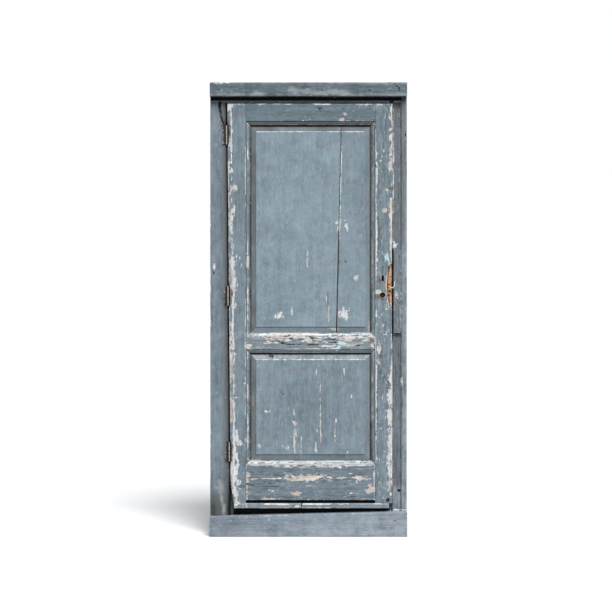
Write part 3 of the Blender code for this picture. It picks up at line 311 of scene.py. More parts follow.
# How deep each kind of wear is hollowed out, and where in the wear that begins
HOLLOWS = {
    "primer": (0.0004, 0.8),
    "bare": (0.0005, 0.8),
    "rot": (0.0012, 0.6),
    "split": (0.0040, 0.6),
    "fissure": (0.0035, 0.8),
}
TORN_MIDDLE = (0.4125, -0.045, 1.238)
TORN_RADII = (0.024, 0.013, 0.089)
TORN_REACH = 1.20
TORN_STEEPNESS = 2.2
EDGE_COATS = 0.0030
COATS_STOP = (0.98, 1.43)
FOOT_WEAR = 0.016
FOOT_WEAR_TOP = 0.27

# Painted shade, with some dirt, on the left, right, top and foot of a panel: width of the dark groove,
# then the painted shade there, on the bevel and along the edge of the field
PANEL_SHADE_AND_DIRT = [
    (0.003, 0.90, 0.50, 0.50),
    (0.003, 0.98, 0.29, 0.10),
    (0.001, 0.95, 0.56, 0.0),
    (0.002, 0.40, 0.26, 0.60),
]
TOP_SIDE = 2
GROOVE_FADE = 0.004
BEVEL_OVERLAP = 0.002
FIELD_WHITE_INSET = 0.001
WHITE_BY_JOINT = (1.50, 1.93)
JOINT_WHITE_WIDTH = 0.005
JOINT_DIRT = (0.95, 0.55)

# Painted shade, dirt, a painted highlight and lost paint on the stiles and rails
QUIRK_SHADE_AND_DIRT = {
    "top_rail": 0.80, "lock_rail": 0.70, "hinge_stile": 0.62, "lock_stile": 0.75, "bottom_rail": 0.40,
}
STRIP_QUIRK_SHADE_AND_DIRT = 0.55
UPPER_QUIRK_SHADE_AND_DIRT = 0.15
PALE_QUIRK_SHARE = 0.3
QUIRK_DEPTH = 0.0006
# Heights above an opening where a moulding gets black painted shade, a pale painted highlight and dark
# painted shade
MOULD_BLACK_TO = 0.0040
MOULD_HIGHLIGHT = {"top_rail": (0.0042, 0.0088), "lock_rail": (0.0042, 0.0100)}
MOULD_DARK = {"top_rail": (0.0088, 0.0215), "lock_rail": (0.0108, 0.0165)}
MOULD_BLACK_SHADE = 0.90
MOULD_DARK_SHADE = 0.44
JOINT_KEPT_PAINT = 0.008
HINGE_MOULD_DIRT = 0.34
HINGE_MOULD_DIRT_WIDTH = MOULD_WIDTH * 0.4
CREST_INSET = MOULD_WIDTH * 0.55
# Height and half width of the white lines on the bottom rail's moulding
RAIL_WHITE_LINES = ((0.3672, 0.0036), (0.3545, 0.0062))
RAIL_WHITE_DEPTH = 0.020
BRIGHT_BREAKS = ((1.90, 2.12), (1.02, 1.38), (0.19, 0.62))
BREAK_BRIGHT, BREAK_DULL = 0.95, 0.62
EDGE_BARE_INSET = 0.004

# Painted shade, painted light, dirt and chalk on the frame
# Painted shade on the stops seen through the gaps at the leaf's foot, black on the sill's stop: up to this
# height, then strength by stop
STOP_SHADE_TOP = 0.30
STOP_SHADE = {"sill_stop": 1.0, "hinge_stop": 0.45}
TOP_DIRT_FROM = 2.085
# Heights where the painted shade in the hinge jamb's gap is black, and how strong it is there and
# elsewhere
BLACK_GAPS = ((1.95, 2.15), (1.14, 1.36), (0.36, 0.52))
GAP_BLACK, GAP_DULL = 1.0, 0.30
JAMB_FOOT_TOP = 0.32
HIGH_FROM = 1.405
# Darker up high down the middle of the latch jamb
HIGH_JAMB_DARKENING = 0.17
HIGH_JAMB_INSET = 0.011
HIGH_JAMB_STOP = 0.008
# Painted light on the latch jamb beside the casing, where the casing's shadow falls: the least, and the
# extra up high
JAMB_PAINTED_LIGHT = (0.80, 0.20)
JAMB_DIRT = 0.05
# Painted shade in the gap between the strike patch and the leaf
PATCH_GAP_SHADE = 1.2
PATCH_GAP_WIDTH = 0.001
STRIP_DIRT = 0.33
STRIP_WIDTH = 0.030
# Painted shade over the head jamb, which sits under the casing
HEAD_JAMB_SHADE = 0.10
CASING_CHALK_TO, CASING_CHALK_FROM = 2.190, 2.224

# Paint gone down to the pale primer
PRIMER_MARKS = [
    # head casing
    (-452, 2235, 59, 7), (-393, 2236, 35, 6),
    # top edge of the leaf
    (-240, 2131, 15, 6), (-96, 2133, 40, 5), (77, 2133, 120, 5), (269, 2131, 74, 9), (353, 2131, 40, 9),
    (-27, 2053, 6, 6),
    # hinge stile
    (-383, 2124, 20, 15), (-383, 1801, 20, 30), (-369, 1610, 13, 40), (-373, 1354, 34, 49),
    (-371, 1240, 26, 198), (-365, 904, 7, 20), (-365, 741, 8, 22), (-360, 684, 20, 10),
    (-368, 652, 10, 25), (-360, 489, 40, 69), (-343, 459, 49, 30), (-309, 474, 20, 25),
    (-368, 400, 34, 100), (-368, 310, 42, 180), (-363, 215, 36, 120), (-348, 166, 30, 15),
    (-301, 1354, 15, 64),
    # lock stile
    (385, 1121, 10, 7), (338, 1783, 8, 198), (336, 1480, 10, 300), (334, 700, 8, 320), (332, 445, 8, 190),
    (404, 790, 16, 60), (403, 690, 20, 120), (402, 590, 24, 130), (402, 470, 22, 140),
    (402, 330, 24, 220), (410, 1560, 10, 240), (417, 1850, 12, 440),
    # upper panel: along the open joint, and chips
    (161, 1833, 6, 133), (158, 1685, 6, 247), (154, 1536, 7, 119), (143, 1551, 15, 15),
    (150, 1522, 17, 25), (185, 1536, 9, 25), (192, 1522, 9, 25), (178, 1559, 10, 7), (90, 1171, 8, 44),
    (-143, 1092, 38, 32), (178, 1094, 46, 50), (-67, 1262, 8, 8),
    # lock rail
    (12, 996, 618, 9), (-190, 989, 198, 12), (106, 993, 296, 8), (106, 939, 148, 10), (304, 978, 30, 30),
    (319, 934, 20, 30),
    # lower panel
    (40, 813, 6, 25), (177, 810, 6, 44), (-203, 615, 30, 9), (212, 687, 6, 15), (-111, 430, 6, 25),
    (-126, 440, 6, 20), (-101, 435, 6, 20), (59, 731, 3, 85), (-89, 494, 5, 13), (-36, 464, 3, 105),
    (44, 509, 4, 45), (136, 583, 3, 45), (59, 640, 3, 60), (-70, 470, 4, 70),
    # bottom rail and foot strip
    (-270, 284, 60, 3), (136, 343, 99, 20), (-42, 340, 198, 5), (-180, 284, 160, 3), (314, 282, 69, 3),
    (15, 254, 12, 4), (190, 198, 30, 4), (215, 212, 60, 3), (325, 252, 7, 198), (-57, 147, 25, 10),
    (353, 158, 49, 6),
    # jambs and sill
    (-469, 1329, 12, 25), (462, 761, 15, 40), (472, 128, 49, 7), (424, 127, 60, 6), (-378, 86, 6, 6),
    (-195, 89, 10, 10), (-272, 82, 6, 6),
]

# Paint and primer gone down to bare wood
BARE_MARKS = [
    # top rail and hinge stile
    (178, 2087, 25, 12), (170, 2060, 25, 17), (-366, 1719, 22, 27), (-373, 1225, 10, 148),
    (-333, 454, 25, 15), (-358, 185, 15, 59),
    # lock stile
    (409, 2090, 15, 50), (407, 2012, 11, 19), (405, 1965, 11, 26), (408, 1899, 14, 36),
    (405, 1830, 16, 44), (409, 1640, 12, 59), (409, 1536, 11, 178), (409, 1438, 11, 148),
    (404, 700, 8, 60), (406, 610, 8, 50), (404, 330, 8, 120), (400, 257, 16, 44), (371, 1907, 8, 17),
    (367, 1877, 7, 15), (358, 1855, 6, 10), (388, 1714, 24, 12), (375, 1606, 18, 18), (348, 1205, 28, 25),
    (352, 929, 24, 38), (348, 865, 13, 20),
    # upper panel
    (-5, 1363, 9, 54), (100, 1092, 6, 59), (235, 1277, 15, 30), (131, 1025, 37, 15), (304, 1028, 10, 49),
    # lock rail
    (-190, 968, 30, 20), (-136, 973, 20, 15), (2, 968, 30, 15), (205, 983, 25, 15), (175, 968, 25, 15),
    (-291, 941, 30, 15), (-294, 931, 20, 15), (220, 944, 69, 11), (319, 963, 20, 20),
    # lower panel
    (60, 563, 4, 140), (-70, 608, 8, 30), (-68, 558, 13, 17), (-66, 509, 11, 34), (-69, 440, 8, 55),
    (37, 440, 8, 30), (132, 514, 4, 80), (193, 415, 10, 12), (-245, 442, 10, 30), (-276, 667, 15, 44),
    # bottom rail
    (-264, 371, 50, 12), (-269, 282, 49, 6), (-2, 289, 188, 23), (-62, 279, 79, 12), (47, 296, 69, 15),
    (161, 289, 54, 9), (245, 289, 59, 20), (235, 269, 15, 10), (-62, 210, 49, 13), (-57, 203, 30, 10),
    (-176, 221, 12, 10), (309, 232, 30, 35), (-299, 291, 15, 40), (-304, 227, 7, 138), (-190, 183, 69, 4),
    # strike patch
    (437, 1191, 15, 25),
]

# An older mint coat that shows through
MINT_MARKS = [
    (427, 1438, 25, 35), (390, 1373, 22, 44), (336, 1092, 15, 44), (-82, 1109, 6, 40), (140, 930, 52, 26),
    (168, 951, 40, 20), (121, 929, 34, 12), (182, 1090, 20, 24),
]

# Brown weathered wood
ROT_MARKS = [
    (-329, 245, 35, 12), (404, 1717, 20, 18), (351, 1267, 16, 24), (362, 1186, 32, 30),
    (358, 884, 16, 44), (148, 1354, 5, 247), (143, 1166, 5, 247), (96, 1181, 8, 64), (183, 1354, 10, 15),
    (-187, 888, 20, 15), (350, 1182, 30, 26), (-86, 973, 25, 14), (396, 1324, 10, 22), (407, 1280, 14, 7),
    (400, 1241, 16, 11), (402, 1208, 20, 14), (393, 1226, 9, 8), (398, 1191, 12, 12), (-37, 971, 22, 12),
    (17, 978, 24, 12), (310, 963, 30, 24), (447, 2129, 16, 26), (450, 1378, 8, 14), (452, 1294, 9, 18),
    (452, 1151, 8, 15), (452, 1052, 6, 14), (-469, 72, 12, 8), (-442, 74, 9, 6), (427, 79, 20, 8),
    (-435, 2085, 12, 66), (-426, 2050, 14, 40), (-416, 2032, 16, 20),
]

# Soft dark smudges; the wide band across the top rail is painted shadow of the head casing, and the tall
# one at the foot of the hinge jamb's outer edge is a painted shadow line
GRIME_AND_SHADE_MARKS = [
    (-180, 2213, 35, 24), (-131, 2218, 30, 18), (-91, 2203, 12, 12), (-220, 2203, 20, 12),
    (-482, 2218, 12, 14), (363, 1186, 42, 36), (-200, 1344, 40, 26), (205, 1596, 20, 26),
    (225, 1457, 14, 26), (-180, 1062, 34, 24), (82, 810, 34, 18), (-479, 188, 30, 210),
    (463, 265, 30, 36), (440, 326, 24, 210), (-380, 50, 260, 130), (0, 2090, 700, 30), (-480, 60, 60, 60),
]

# Holes and fissures, black and deep
FISSURE_MARKS = [
    (-411, 2045, 6, 50), (412, 2150, 22, 17), (131, 2148, 8, 10), (47, 2114, 40, 5), (57, 2107, 10, 8),
    (175, 2109, 20, 4), (79, 1158, 10, 6), (49, 1284, 10, 5), (-131, 951, 42, 4), (-84, 945, 52, 3),
    (-38, 944, 46, 3), (20, 944, 74, 3), (118, 956, 48, 3), (246, 939, 38, 3), (-86, 976, 14, 5),
    (17, 978, 14, 4), (484, 1984, 10, 22), (-32, 152, 4, 24), (412, 2235, 24, 3), (424, 2227, 10, 3),
    (434, 2218, 12, 3), (446, 2210, 11, 6), (-439, 2130, 12, 50), (446, 222, 13, 13), (393, 176, 14, 18),
    (-163, 706, 6, 8), (-136, 706, 4, 16), (-126, 701, 4, 16), (-177, 886, 13, 15), (-469, 1304, 6, 12),
]

# Chalky, bleached paint; the mark at the foot of the latch jamb is painted light over the casing's shadow
BLEACH_AND_LIGHT_MARKS = [
    (329, 2114, 20, 30), (-165, 153, 198, 10), (476, 1141, 20, 15), (330, 40, 330, 90), (60, 20, 700, 40),
    (-60, 994, 520, 26), (448, 172, 64, 110),
]

# Pale paint smeared over the head casing and the foot of the hinge jamb
SMEAR_MARKS = [
    (-72, 2198, 52, 38), (-17, 2192, 74, 26), (47, 2185, 60, 20), (121, 2188, 124, 24),
    (190, 2181, 54, 16), (-245, 2185, 50, 14), (-436, 236, 40, 70), (-430, 180, 20, 60),
    (-421, 135, 18, 60),
]

# Rust that has run from the hinges and from the nail hole in the lower panel
RUST_MARKS = [
    (-412, 1971, 22, 70), (-410, 1181, 24, 100), (-403, 415, 30, 109), (-183, 887, 25, 22),
    (-391, 2000, 18, 90), (-382, 1198, 14, 66), (-377, 425, 14, 70),
]


def strewn(seed, count, x_span, z_span, widths, heights):
    """Small marks strewn over a stretch of the front."""
    draw = random.Random(seed)
    spans = (x_span, z_span, widths, heights)
    return [tuple(draw.uniform(*span) for span in spans) for _ in range(count)]


LOCK_RAIL_STREAKS = ((-215, 315), (952, 993))
TOP_HINGE_SIDE = ((-440, -408), (1925, 2020))
MIDDLE_HINGE_SIDE = ((-432, -402), (1120, 1230))
LOCK_STILE_LOW = ((338, 402), (360, 1180))
HINGE_STILE_FACE = ((-372, -315), (180, 1500))
BOTTOM_RAIL_FACE = ((-300, 320), (215, 330))
STREWN = {
    "primer": strewn(1, 54, *LOCK_RAIL_STREAKS, (14, 64), (3, 7))
    + strewn(2, 26, *LOCK_STILE_LOW, (3, 6), (4, 14))
    + strewn(3, 14, *HINGE_STILE_FACE, (3, 6), (4, 18))
    + strewn(4, 6, *BOTTOM_RAIL_FACE, (8, 30), (3, 4))
    + strewn(9, 12, *TOP_HINGE_SIDE, (3, 5), (3, 8))
    + strewn(10, 8, *MIDDLE_HINGE_SIDE, (3, 5), (3, 8)),
    "bare": strewn(6, 30, *LOCK_RAIL_STREAKS, (10, 40), (3, 6)),
    "rot": strewn(7, 22, *LOCK_RAIL_STREAKS, (10, 34), (3, 5)),
    "fissure": strewn(8, 6, *LOCK_RAIL_STREAKS, (14, 44), (2, 3))
    + strewn(11, 12, *TOP_HINGE_SIDE, (3, 5), (3, 9))
    + strewn(12, 10, *MIDDLE_HINGE_SIDE, (3, 5), (3, 9)),
}
MARKS = {
    "primer": PRIMER_MARKS, "bare": BARE_MARKS, "mint": MINT_MARKS, "rot": ROT_MARKS, "grime_and_shade": GRIME_AND_SHADE_MARKS,
    "fissure": FISSURE_MARKS, "bleach_and_light": BLEACH_AND_LIGHT_MARKS, "rust": RUST_MARKS, "smear": SMEAR_MARKS,
}
GRIME_AND_SHADE_STRENGTH = 0.30


def lumps(points, size, seed=0):
    """Smooth noise from -1 to 1 at each point. size is how far across lumps are, for all axes or each."""
    spot = points / np.asarray(size) + seed * SEED_SHIFT
    cell = np.floor(spot)
    part = spot - cell
    part = part * part * (3 - 2 * part)
    total = np.zeros(len(points))
    for corner in ((x, y, z) for x in (0, 1) for y in (0, 1) for z in (0, 1)):
        key = (cell + corner) @ np.array(HASH_STEPS)
        value = np.modf(np.abs(np.sin(key)) * HASH_SCALE)[0] * 2 - 1
        total += value * np.prod(np.where(corner, part, 1 - part), axis=1)
    return total


def patchy(points, kind, seed=0):
    """How strong a kind of wear is at each point."""
    mean, *layers = PATCHES[kind]
    return mean + sum(share * lumps(points, size, seed + shift) for share, size, shift in layers)


def fall(distance, over, full=1.0):
    """Falls from full by one over a distance, held between 0 and 1."""
    return np.clip(full - distance / over, 0, 1)


def rise(distance, over, least=0.0, most=1.0):
    """Rises by one over a distance, held between least and most."""
    return np.clip(distance / over, least, most)


def fade(distance, over, full=1.0):
    return full * np.exp(-distance / over)


def between(values, span):
    return (values > span[0]) & (values < span[1])


def within(values, spans):
    return np.any([between(values, span) for span in spans], axis=0)


def nearest(values, places):
    """How far each value is from the nearest place."""
    return np.abs(values[:, None] - np.array(places)).min(1)


def wear(fields, name, values, strength=1.0):
    """Adds to a wear field where the new values are stronger."""
    fields[name] = np.maximum(fields[name], values * strength)


def ease_arrises(bm):
    """Rounds the long outer arrises, as sanding and many coats of paint do."""
    found = [edge for edge in bm.edges if len(edge.link_faces) == 2 and edge.calc_length() > ARRIS_LONG]
    found = [edge for edge in found if edge.calc_face_angle_signed() > ARRIS_SHARP]
    shape = {"offset": ARRIS_EASE, "segments": 2, "profile": 0.5, "affect": "EDGES"}
    bmesh.ops.bevel(bm, geom=found, material=-1, clamp_overlap=True, **shape)


def lies_ahead(item, axis, place):
    """Whether some of a vertex, edge or face lies past a cutting plane."""
    points = [item] if isinstance(item, bmesh.types.BMVert) else item.verts
    return any(v.co[axis] > place - MERGE for v in points)


def cut_into_cells(bm, axis, cell):
    """Cuts the mesh by planes a cell apart, sweeping along one axis."""
    facing = Vector((axis == 0, axis == 1, axis == 2))
    places = [v.co[axis] for v in bm.verts]
    low, high = min(places), max(places)
    count = max(1, round((high - low) / cell))
    ahead = bm.verts[:] + bm.edges[:] + bm.faces[:]
    for number in range(1, count):
        place = low + (high - low) * number / count
        plane = {"plane_co": facing * place, "plane_no": facing}
        made = bmesh.ops.bisect_plane(bm, geom=ahead, dist=MERGE, **plane)
        ahead = [item for item in made["geom"] if lies_ahead(item, axis, place)]


def board_mesh(node, cell):
    """A merged copy of a board, with eased arrises and cut into small cells."""
    bm = bmesh.new()
    bm.from_mesh(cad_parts[node].data)
    bmesh.ops.remove_doubles(bm, verts=bm.verts, dist=MERGE)
    bmesh.ops.dissolve_limit(bm, angle_limit=FLAT, verts=bm.verts, edges=bm.edges)
    ease_arrises(bm)
    places = np.array([v.co for v in bm.verts])
    short_to_long = np.argsort(places.max(0) - places.min(0))
    for axis in short_to_long:
        cut_into_cells(bm, int(axis), cell * 2)
    bmesh.ops.subdivide_edges(bm, edges=bm.edges[:], cuts=1, use_grid_fill=True)
    bmesh.ops.triangulate(bm, faces=[f for f in bm.faces if len(f.verts) > 4])
    return bm


def bent_points(bm):
    """Which vertices lie on an outer arris, and which in an inner corner."""
    bm.verts.index_update()
    outer = np.zeros(len(bm.verts), bool)
    inner = np.zeros(len(bm.verts), bool)
    for edge in bm.edges:
        if len(edge.link_faces) != 2:
            continue
        turn = edge.calc_face_angle_signed(0)
        if abs(turn) > ARRIS_TURN:
            found = outer if turn > 0 else inner
            for vert in edge.verts:
                found[vert.index] = True
    return outer, inner


def distance_from(start, ends, lengths):
    """Distance along the surface from the marked vertices, a few cells out."""
    far = np.where(start, 0.0, FAR)
    for _ in range(SPREAD_ROUNDS):
        np.minimum.at(far, ends[:, 0], far[ends[:, 1]] + lengths)
        np.minimum.at(far, ends[:, 1], far[ends[:, 0]] + lengths)
    return far


def vectors(collection, name):
    values = np.zeros(len(collection) * 3, np.float32)
    collection.foreach_get(name, values)
    return values.reshape(-1, 3).astype(float)


def sway(points, seed):
    """How far the edges of marks sway at each point."""
    (broad, broad_share), (fine, fine_share) = MARK_SWAY
    return lumps(points, broad, seed) * broad_share + lumps(points, fine, seed + 2) * fine_share


def marked(points, marks, seed):
    """How deep each point lies in the listed marks."""
    depth = np.zeros(len(points))
    front = points[:, ::2]
    swayed = np.stack((sway(points, seed), sway(points, seed + 1)), axis=1)
    low, high = front.min(0), front.max(0)
    for mark in np.array(marks) * MM:
        spot, half = mark[:2], np.maximum(mark[2:] / 2, NARROWEST)
        if np.all(np.abs(spot - (low + high) / 2) <= (high - low) / 2 + MARK_REACH * half):
            across, along = ((front - spot) / half + swayed).T
            depth = np.maximum(depth, 1 - AT_EDGE * np.hypot(across, along))
    return depth


def worn_arris(distance, points, reach, seed):
    """Paint lost along the arrises: a ragged band that comes and goes."""
    width = reach * np.clip(patchy(points, "arris", seed), *ARRIS_SHARES)
    return fall(AT_EDGE * distance, width) * rise(width, over=0.0022)


def near_side(points, heights):
    """Which side of a panel's opening each point lies nearest, and how far in from it."""
    left, right = OPENING_SIDES
    foot, top = heights
    gaps = np.stack((points[:, 0] - left, right - points[:, 0], top - points[:, 2], points[:, 2] - foot))
    return gaps.argmin(0), gaps.min(0)


def dress_joint(points, fields, seed):
    """Dirt in the open joint of the upper panel, and the white broken edge of the paint along it."""
    foot, top = UPPER_HEIGHTS
    z = points[:, 2]
    height = (z - foot) / (top - foot)
    beside = points[:, 0] - (PANEL_JOINT_FOOT + (PANEL_JOINT_TOP - PANEL_JOINT_FOOT) * height)
    darkest = np.where(z < WHITE_BY_JOINT[0], *JOINT_DIRT)
    wear(fields, "grime_and_shade", fall(np.abs(beside), over=0.0026, full=1.4) * darkest)
    white = fall(np.abs(beside - JOINT_WHITE_WIDTH), JOINT_WHITE_WIDTH) * between(z, WHITE_BY_JOINT)
    wear(fields, "primer", white * patchy(points, "joint_white", seed))


def dress_panel(points, fields, is_lower, seed):
    """Painted shade, with some dirt, round a panel's field, and its top edge pale: worn paint and a
    painted highlight.
    """
    side, gap = near_side(points, LOWER_HEIGHTS if is_lower else UPPER_HEIGHTS)
    line, groove_shade, bevel_shade_and_dirt, field_edge_shade = np.array(PANEL_SHADE_AND_DIRT)[side].T
    patches = patchy(points, "panel_shade_and_dirt", seed)
    in_line = rise(line + GROOVE_FADE - gap, GROOVE_FADE)
    on_bevel = rise(BEVEL_WIDTH + BEVEL_OVERLAP - gap, over=0.003)
    at_edge = fall(np.abs(gap - BEVEL_WIDTH), over=0.004)
    is_top = side == TOP_SIDE
    if is_lower:
        wear(fields, "bleach_and_light", is_top * on_bevel, strength=0.9)
        bevel_shade_and_dirt = np.where(is_top, 0.0, bevel_shade_and_dirt)
    dirt_and_shade = np.maximum(in_line * groove_shade, on_bevel * bevel_shade_and_dirt * patches)
    wear(fields, "grime_and_shade", np.maximum(dirt_and_shade, at_edge * field_edge_shade * patches))
    if not is_lower:
        dress_joint(points, fields, seed)
    # Worn paint and a painted highlight along the top edge of the field
    bright = is_top * fall(np.abs(gap - BEVEL_WIDTH - FIELD_WHITE_INSET), over=0.0055)
    wear(fields, "primer", bright * patchy(points, "field_white", seed))


def dress_moulding(node, points, fields, inner_distance):
    """Painted shade and dirt in the quirks, and painted shade and highlights on the mouldings round the
    panels, by piece.
    """
    x, y, z = points.T
    under = z < LOCK_RAIL_MIDDLE if node == "lock_rail" else np.ones(len(points), bool)
    strength = np.where(under, QUIRK_SHADE_AND_DIRT.get(node, STRIP_QUIRK_SHADE_AND_DIRT), UPPER_QUIRK_SHADE_AND_DIRT)
    # Painted shade, with some dirt, in the moulding's inner corners
    corner = fall(inner_distance, over=0.0045, full=1.3) * strength * (y > LEAF_FACE + QUIRK_DEPTH)
    if node in MOULD_HIGHLIGHT:
        above = z - (UPPER_HEIGHTS if node == "top_rail" else LOWER_HEIGHTS)[1]
        # Up from the opening's edge: black painted shade, a band of painted highlight with bare wood on
        # the top rail, then dark painted shade
        pale = between(above, MOULD_HIGHLIGHT[node])
        if node == "top_rail":
            wear(fields, "bare", pale * patchy(points, "mould_bare"))
        wear(fields, "bleach_and_light", pale)
        corner = np.where(pale, corner * PALE_QUIRK_SHARE, corner)
        dark = between(above, MOULD_DARK[node]) * MOULD_DARK_SHADE
        corner = np.maximum(corner, dark + (np.abs(above) < MOULD_BLACK_TO) * MOULD_BLACK_SHADE)
    at_joint = (z > TOP_JOINT_FOOT) & (nearest(x, JOINTS) < JOINT_KEPT_PAINT)
    for name in ("primer", "bare"):
        fields[name] = np.where(at_joint, 0.0, fields[name])
    if node == "hinge_stile":
        corner = np.maximum(corner, (x > OPENING_SIDES[0] - HINGE_MOULD_DIRT_WIDTH) * HINGE_MOULD_DIRT)
        wear_hinge_edge(points, fields)
        crest = fall(np.abs(x - OPENING_SIDES[0] + CREST_INSET), over=0.006)
        wear(fields, "primer", crest * patchy(points, "crest_white"))
    if node == "bottom_rail":
        # Painted shade, with some dirt, in the groove at the rail's foot
        corner = np.maximum(corner, rise(RAIL_GROOVE_TOP - z, over=0.003))
        streaky = patchy(points, "rail_white") * (y < LEAF_FACE + RAIL_WHITE_DEPTH)
        for height, half in RAIL_WHITE_LINES:
            wear(fields, "primer", fall(AT_EDGE * np.abs(z - height), half, full=1.15) * streaky)
    wear(fields, "grime_and_shade", corner)


def hinge_inset(points):
    """How far each point lies in from the leaf's leaning hinge edge."""
    return points[:, 0] - (HINGE_EDGE_AT_FLOOR - HINGE_LEAN * points[:, 2])


def wear_hinge_edge(points, fields):
    """The weathered strip down the hinge edge, the bright line where the paint breaks off, and painted
    shade in the gap at the hinges.
    """
    z = points[:, 2]
    along = points * (0, 0, 1)
    inset = hinge_inset(points)
    break_at = patchy(along, "break_line")
    outside = inset < break_at - EDGE_BARE_INSET
    bright = np.where(within(z, BRIGHT_BREAKS), BREAK_BRIGHT, BREAK_DULL) + patchy(along, "break_white")
    line = fall(np.abs(inset - break_at), over=0.0055, full=1.3) * bright
    wear(fields, "primer", np.maximum(line, (inset < break_at) * patchy(points, "edge_white")))
    wear(fields, "bare", outside * patchy(along, "edge_bare"))
    wear(fields, "grime_and_shade", outside, strength=0.16)
    # Painted shade in the gap between the knuckles and the leaf's edge
    hinged = nearest(z, HINGE_HEIGHTS) < HINGE_HALF
    wear(fields, "grime_and_shade", fall(inset, over=0.004, full=1.5) * hinged)


def hinge_jamb_shade_and_dirt(points):
    """Painted shade beside the leaf and in the gap, black at the hinges, and dirt splashed up the foot."""
    x, _, z = points.T
    gap = HINGE_JAMB_EDGE_AT_FLOOR - HINGE_LEAN * z - x
    black = np.where(within(z, BLACK_GAPS), GAP_BLACK, GAP_DULL)
    dirt_and_shade = fade(gap, over=0.029, full=0.80) + fall(gap, over=0.0035, full=1.6) * black
    return dirt_and_shade + rise(JAMB_FOOT_TOP - z, over=0.18) * patchy(points, "jamb_foot")


def latch_jamb_shade_and_dirt(points, high):
    """Darker beside the leaf and, above the lock, down the middle of the face; painted shade in the gap
    beside the patch; a little dirt all over.
    """
    x, _, z = points.T
    gap = x - LATCH_JAMB_EDGE
    dirt_and_shade = fade(gap, over=0.010, full=0.16)
    in_middle = rise(gap - HIGH_JAMB_INSET, over=0.012) * (x < STRIP_EDGE - HIGH_JAMB_STOP)
    dirt_and_shade += HIGH_JAMB_DARKENING * high * in_middle
    beside_patch = between(z, PATCH_HEIGHTS) & (x < PATCH_EDGE + PATCH_GAP_WIDTH)
    return np.where(beside_patch, PATCH_GAP_SHADE, dirt_and_shade + JAMB_DIRT)


def dress_frame(node, points, fields):
    """Painted shade and dirt on the frame, beside the leaf, under the casing and beside the lock, and
    painted light beside the latch casing.
    """
    x, y, z = points.T
    dirt_and_shade = np.zeros(len(points))
    top_dirt = rise(z - TOP_DIRT_FROM, over=0.07) * patchy(points, "top_dirt")
    high = rise(z - HIGH_FROM, over=0.05)
    if node == "hinge_jamb":
        dirt_and_shade = hinge_jamb_shade_and_dirt(points)
    if node == "latch_jamb":
        dirt_and_shade = latch_jamb_shade_and_dirt(points, high) + top_dirt
        # Painted light on the jamb where the casing's shadow falls
        light_beside_casing = JAMB_PAINTED_LIGHT[0] + JAMB_PAINTED_LIGHT[1] * high
        wear(fields, "bleach_and_light", light_beside_casing * fade(np.abs(STRIP_EDGE - x), over=0.004))
    if node == "latch_casing":
        inner = rise(STRIP_EDGE + STRIP_WIDTH - x, over=0.020, least=0.2)
        dirt_and_shade = STRIP_DIRT * high * inner + top_dirt
        wear(fields, "bleach_and_light", (1 - high) * rise(x - STRIP_EDGE, STRIP_WIDTH), strength=0.8)
    if node == "strike_patch":
        # Painted shade in the gap beside the leaf
        dirt_and_shade = PATCH_GAP_SHADE * fall(x - PATCH_EDGE, over=0.0018, full=1.1)
    if node == "head_jamb":
        # Painted shade under the head casing, black near its underside
        dirt_and_shade = HEAD_JAMB_SHADE + rise(z - HEAD_SHADE_FOOT, over=0.008, most=0.94)
    if node == "head_casing":
        wear(fields, "bleach_and_light", rise(CASING_CHALK_TO - z, over=0.010), strength=0.55)
        wear(fields, "bleach_and_light", rise(z - CASING_CHALK_FROM, over=0.008), strength=0.45)
    if node in STOP_SHADE:
        # Painted shade on the stops behind the gaps
        wear(fields, "grime_and_shade", rise(STOP_SHADE_TOP - z, over=0.03), STOP_SHADE[node])
    wear(fields, "grime_and_shade", dirt_and_shade * (y < JAMB_FACE_REACH))


def split_depth(points):
    """How far inside the broken stretch of the lock stile's arris each point lies, with torn ends."""
    offset = (points - np.array(TORN_MIDDLE)) / np.array(TORN_RADII)
    inside = TORN_REACH - np.linalg.norm(offset, axis=1)
    return np.clip(AT_EDGE + TORN_STEEPNESS * inside + patchy(points, "torn"), 0, 1)


def roughen(points, normals, fields, outer_distance, seed):
    """Sinks the surface: lost paint, uneven boards, worn arrises, fissures and splintered wood."""
    sink = patchy(points, "board", seed)
    sink += np.maximum(patchy(points, "arris_worn", seed), 0) * fall(outer_distance, over=0.003)
    for name, (depth, start) in HOLLOWS.items():
        uneven = patchy(points, name, seed) if name in PATCHES else 1.0
        sink += depth * np.clip(fields[name] * 2 - start, 0, 1) * uneven
    return points - normals * sink[:, None]


def thicken_edge(node, points):
    """Paint built up on the leaf's edges, clear of lock and hinges, and the worn corner at the foot."""
    x, z = points[:, 0], points[:, 2]
    if node == "lock_stile":
        clear = rise(z - COATS_STOP[1], over=0.03) + rise(COATS_STOP[0] - z, over=0.03)
        x += EDGE_COATS * clear * fall(LOCK_EDGE - x, over=0.004)
    if node == "hinge_stile":
        clear = rise(nearest(z, HINGE_HEIGHTS) - HINGE_HALF, over=0.02)
        inset = hinge_inset(points)
        x -= EDGE_COATS * clear * fall(inset, over=0.004)
        x += FOOT_WEAR * rise(FOOT_WEAR_TOP - z, over=0.13) * fall(inset, over=0.030)


def paint_fields(points, normals, outer_distance, reach, seed):
    """Every wear, dirt, painted shade and painted light field of one board, as values for each vertex."""
    front = normals[:, 1] < FRONT_TURN
    front &= points[:, 1] < points[:, 1].min() + FRONT_DEPTH
    fields = {}
    for number, (name, marks) in enumerate(MARKS.items()):
        fields[name] = marked(points, marks + STREWN.get(name, []), seed + number) * front
    fields["grime_and_shade"] *= GRIME_AND_SHADE_STRENGTH
    fields["split"] = np.zeros(len(points))
    worn = worn_arris(outer_distance, points, reach, seed)
    wear(fields, "primer", worn)
    wear(fields, "bare", (worn - BARE_ARRIS) * (patchy(points, "arris_bare", seed) > BARE_ARRIS_FROM))
    return fields


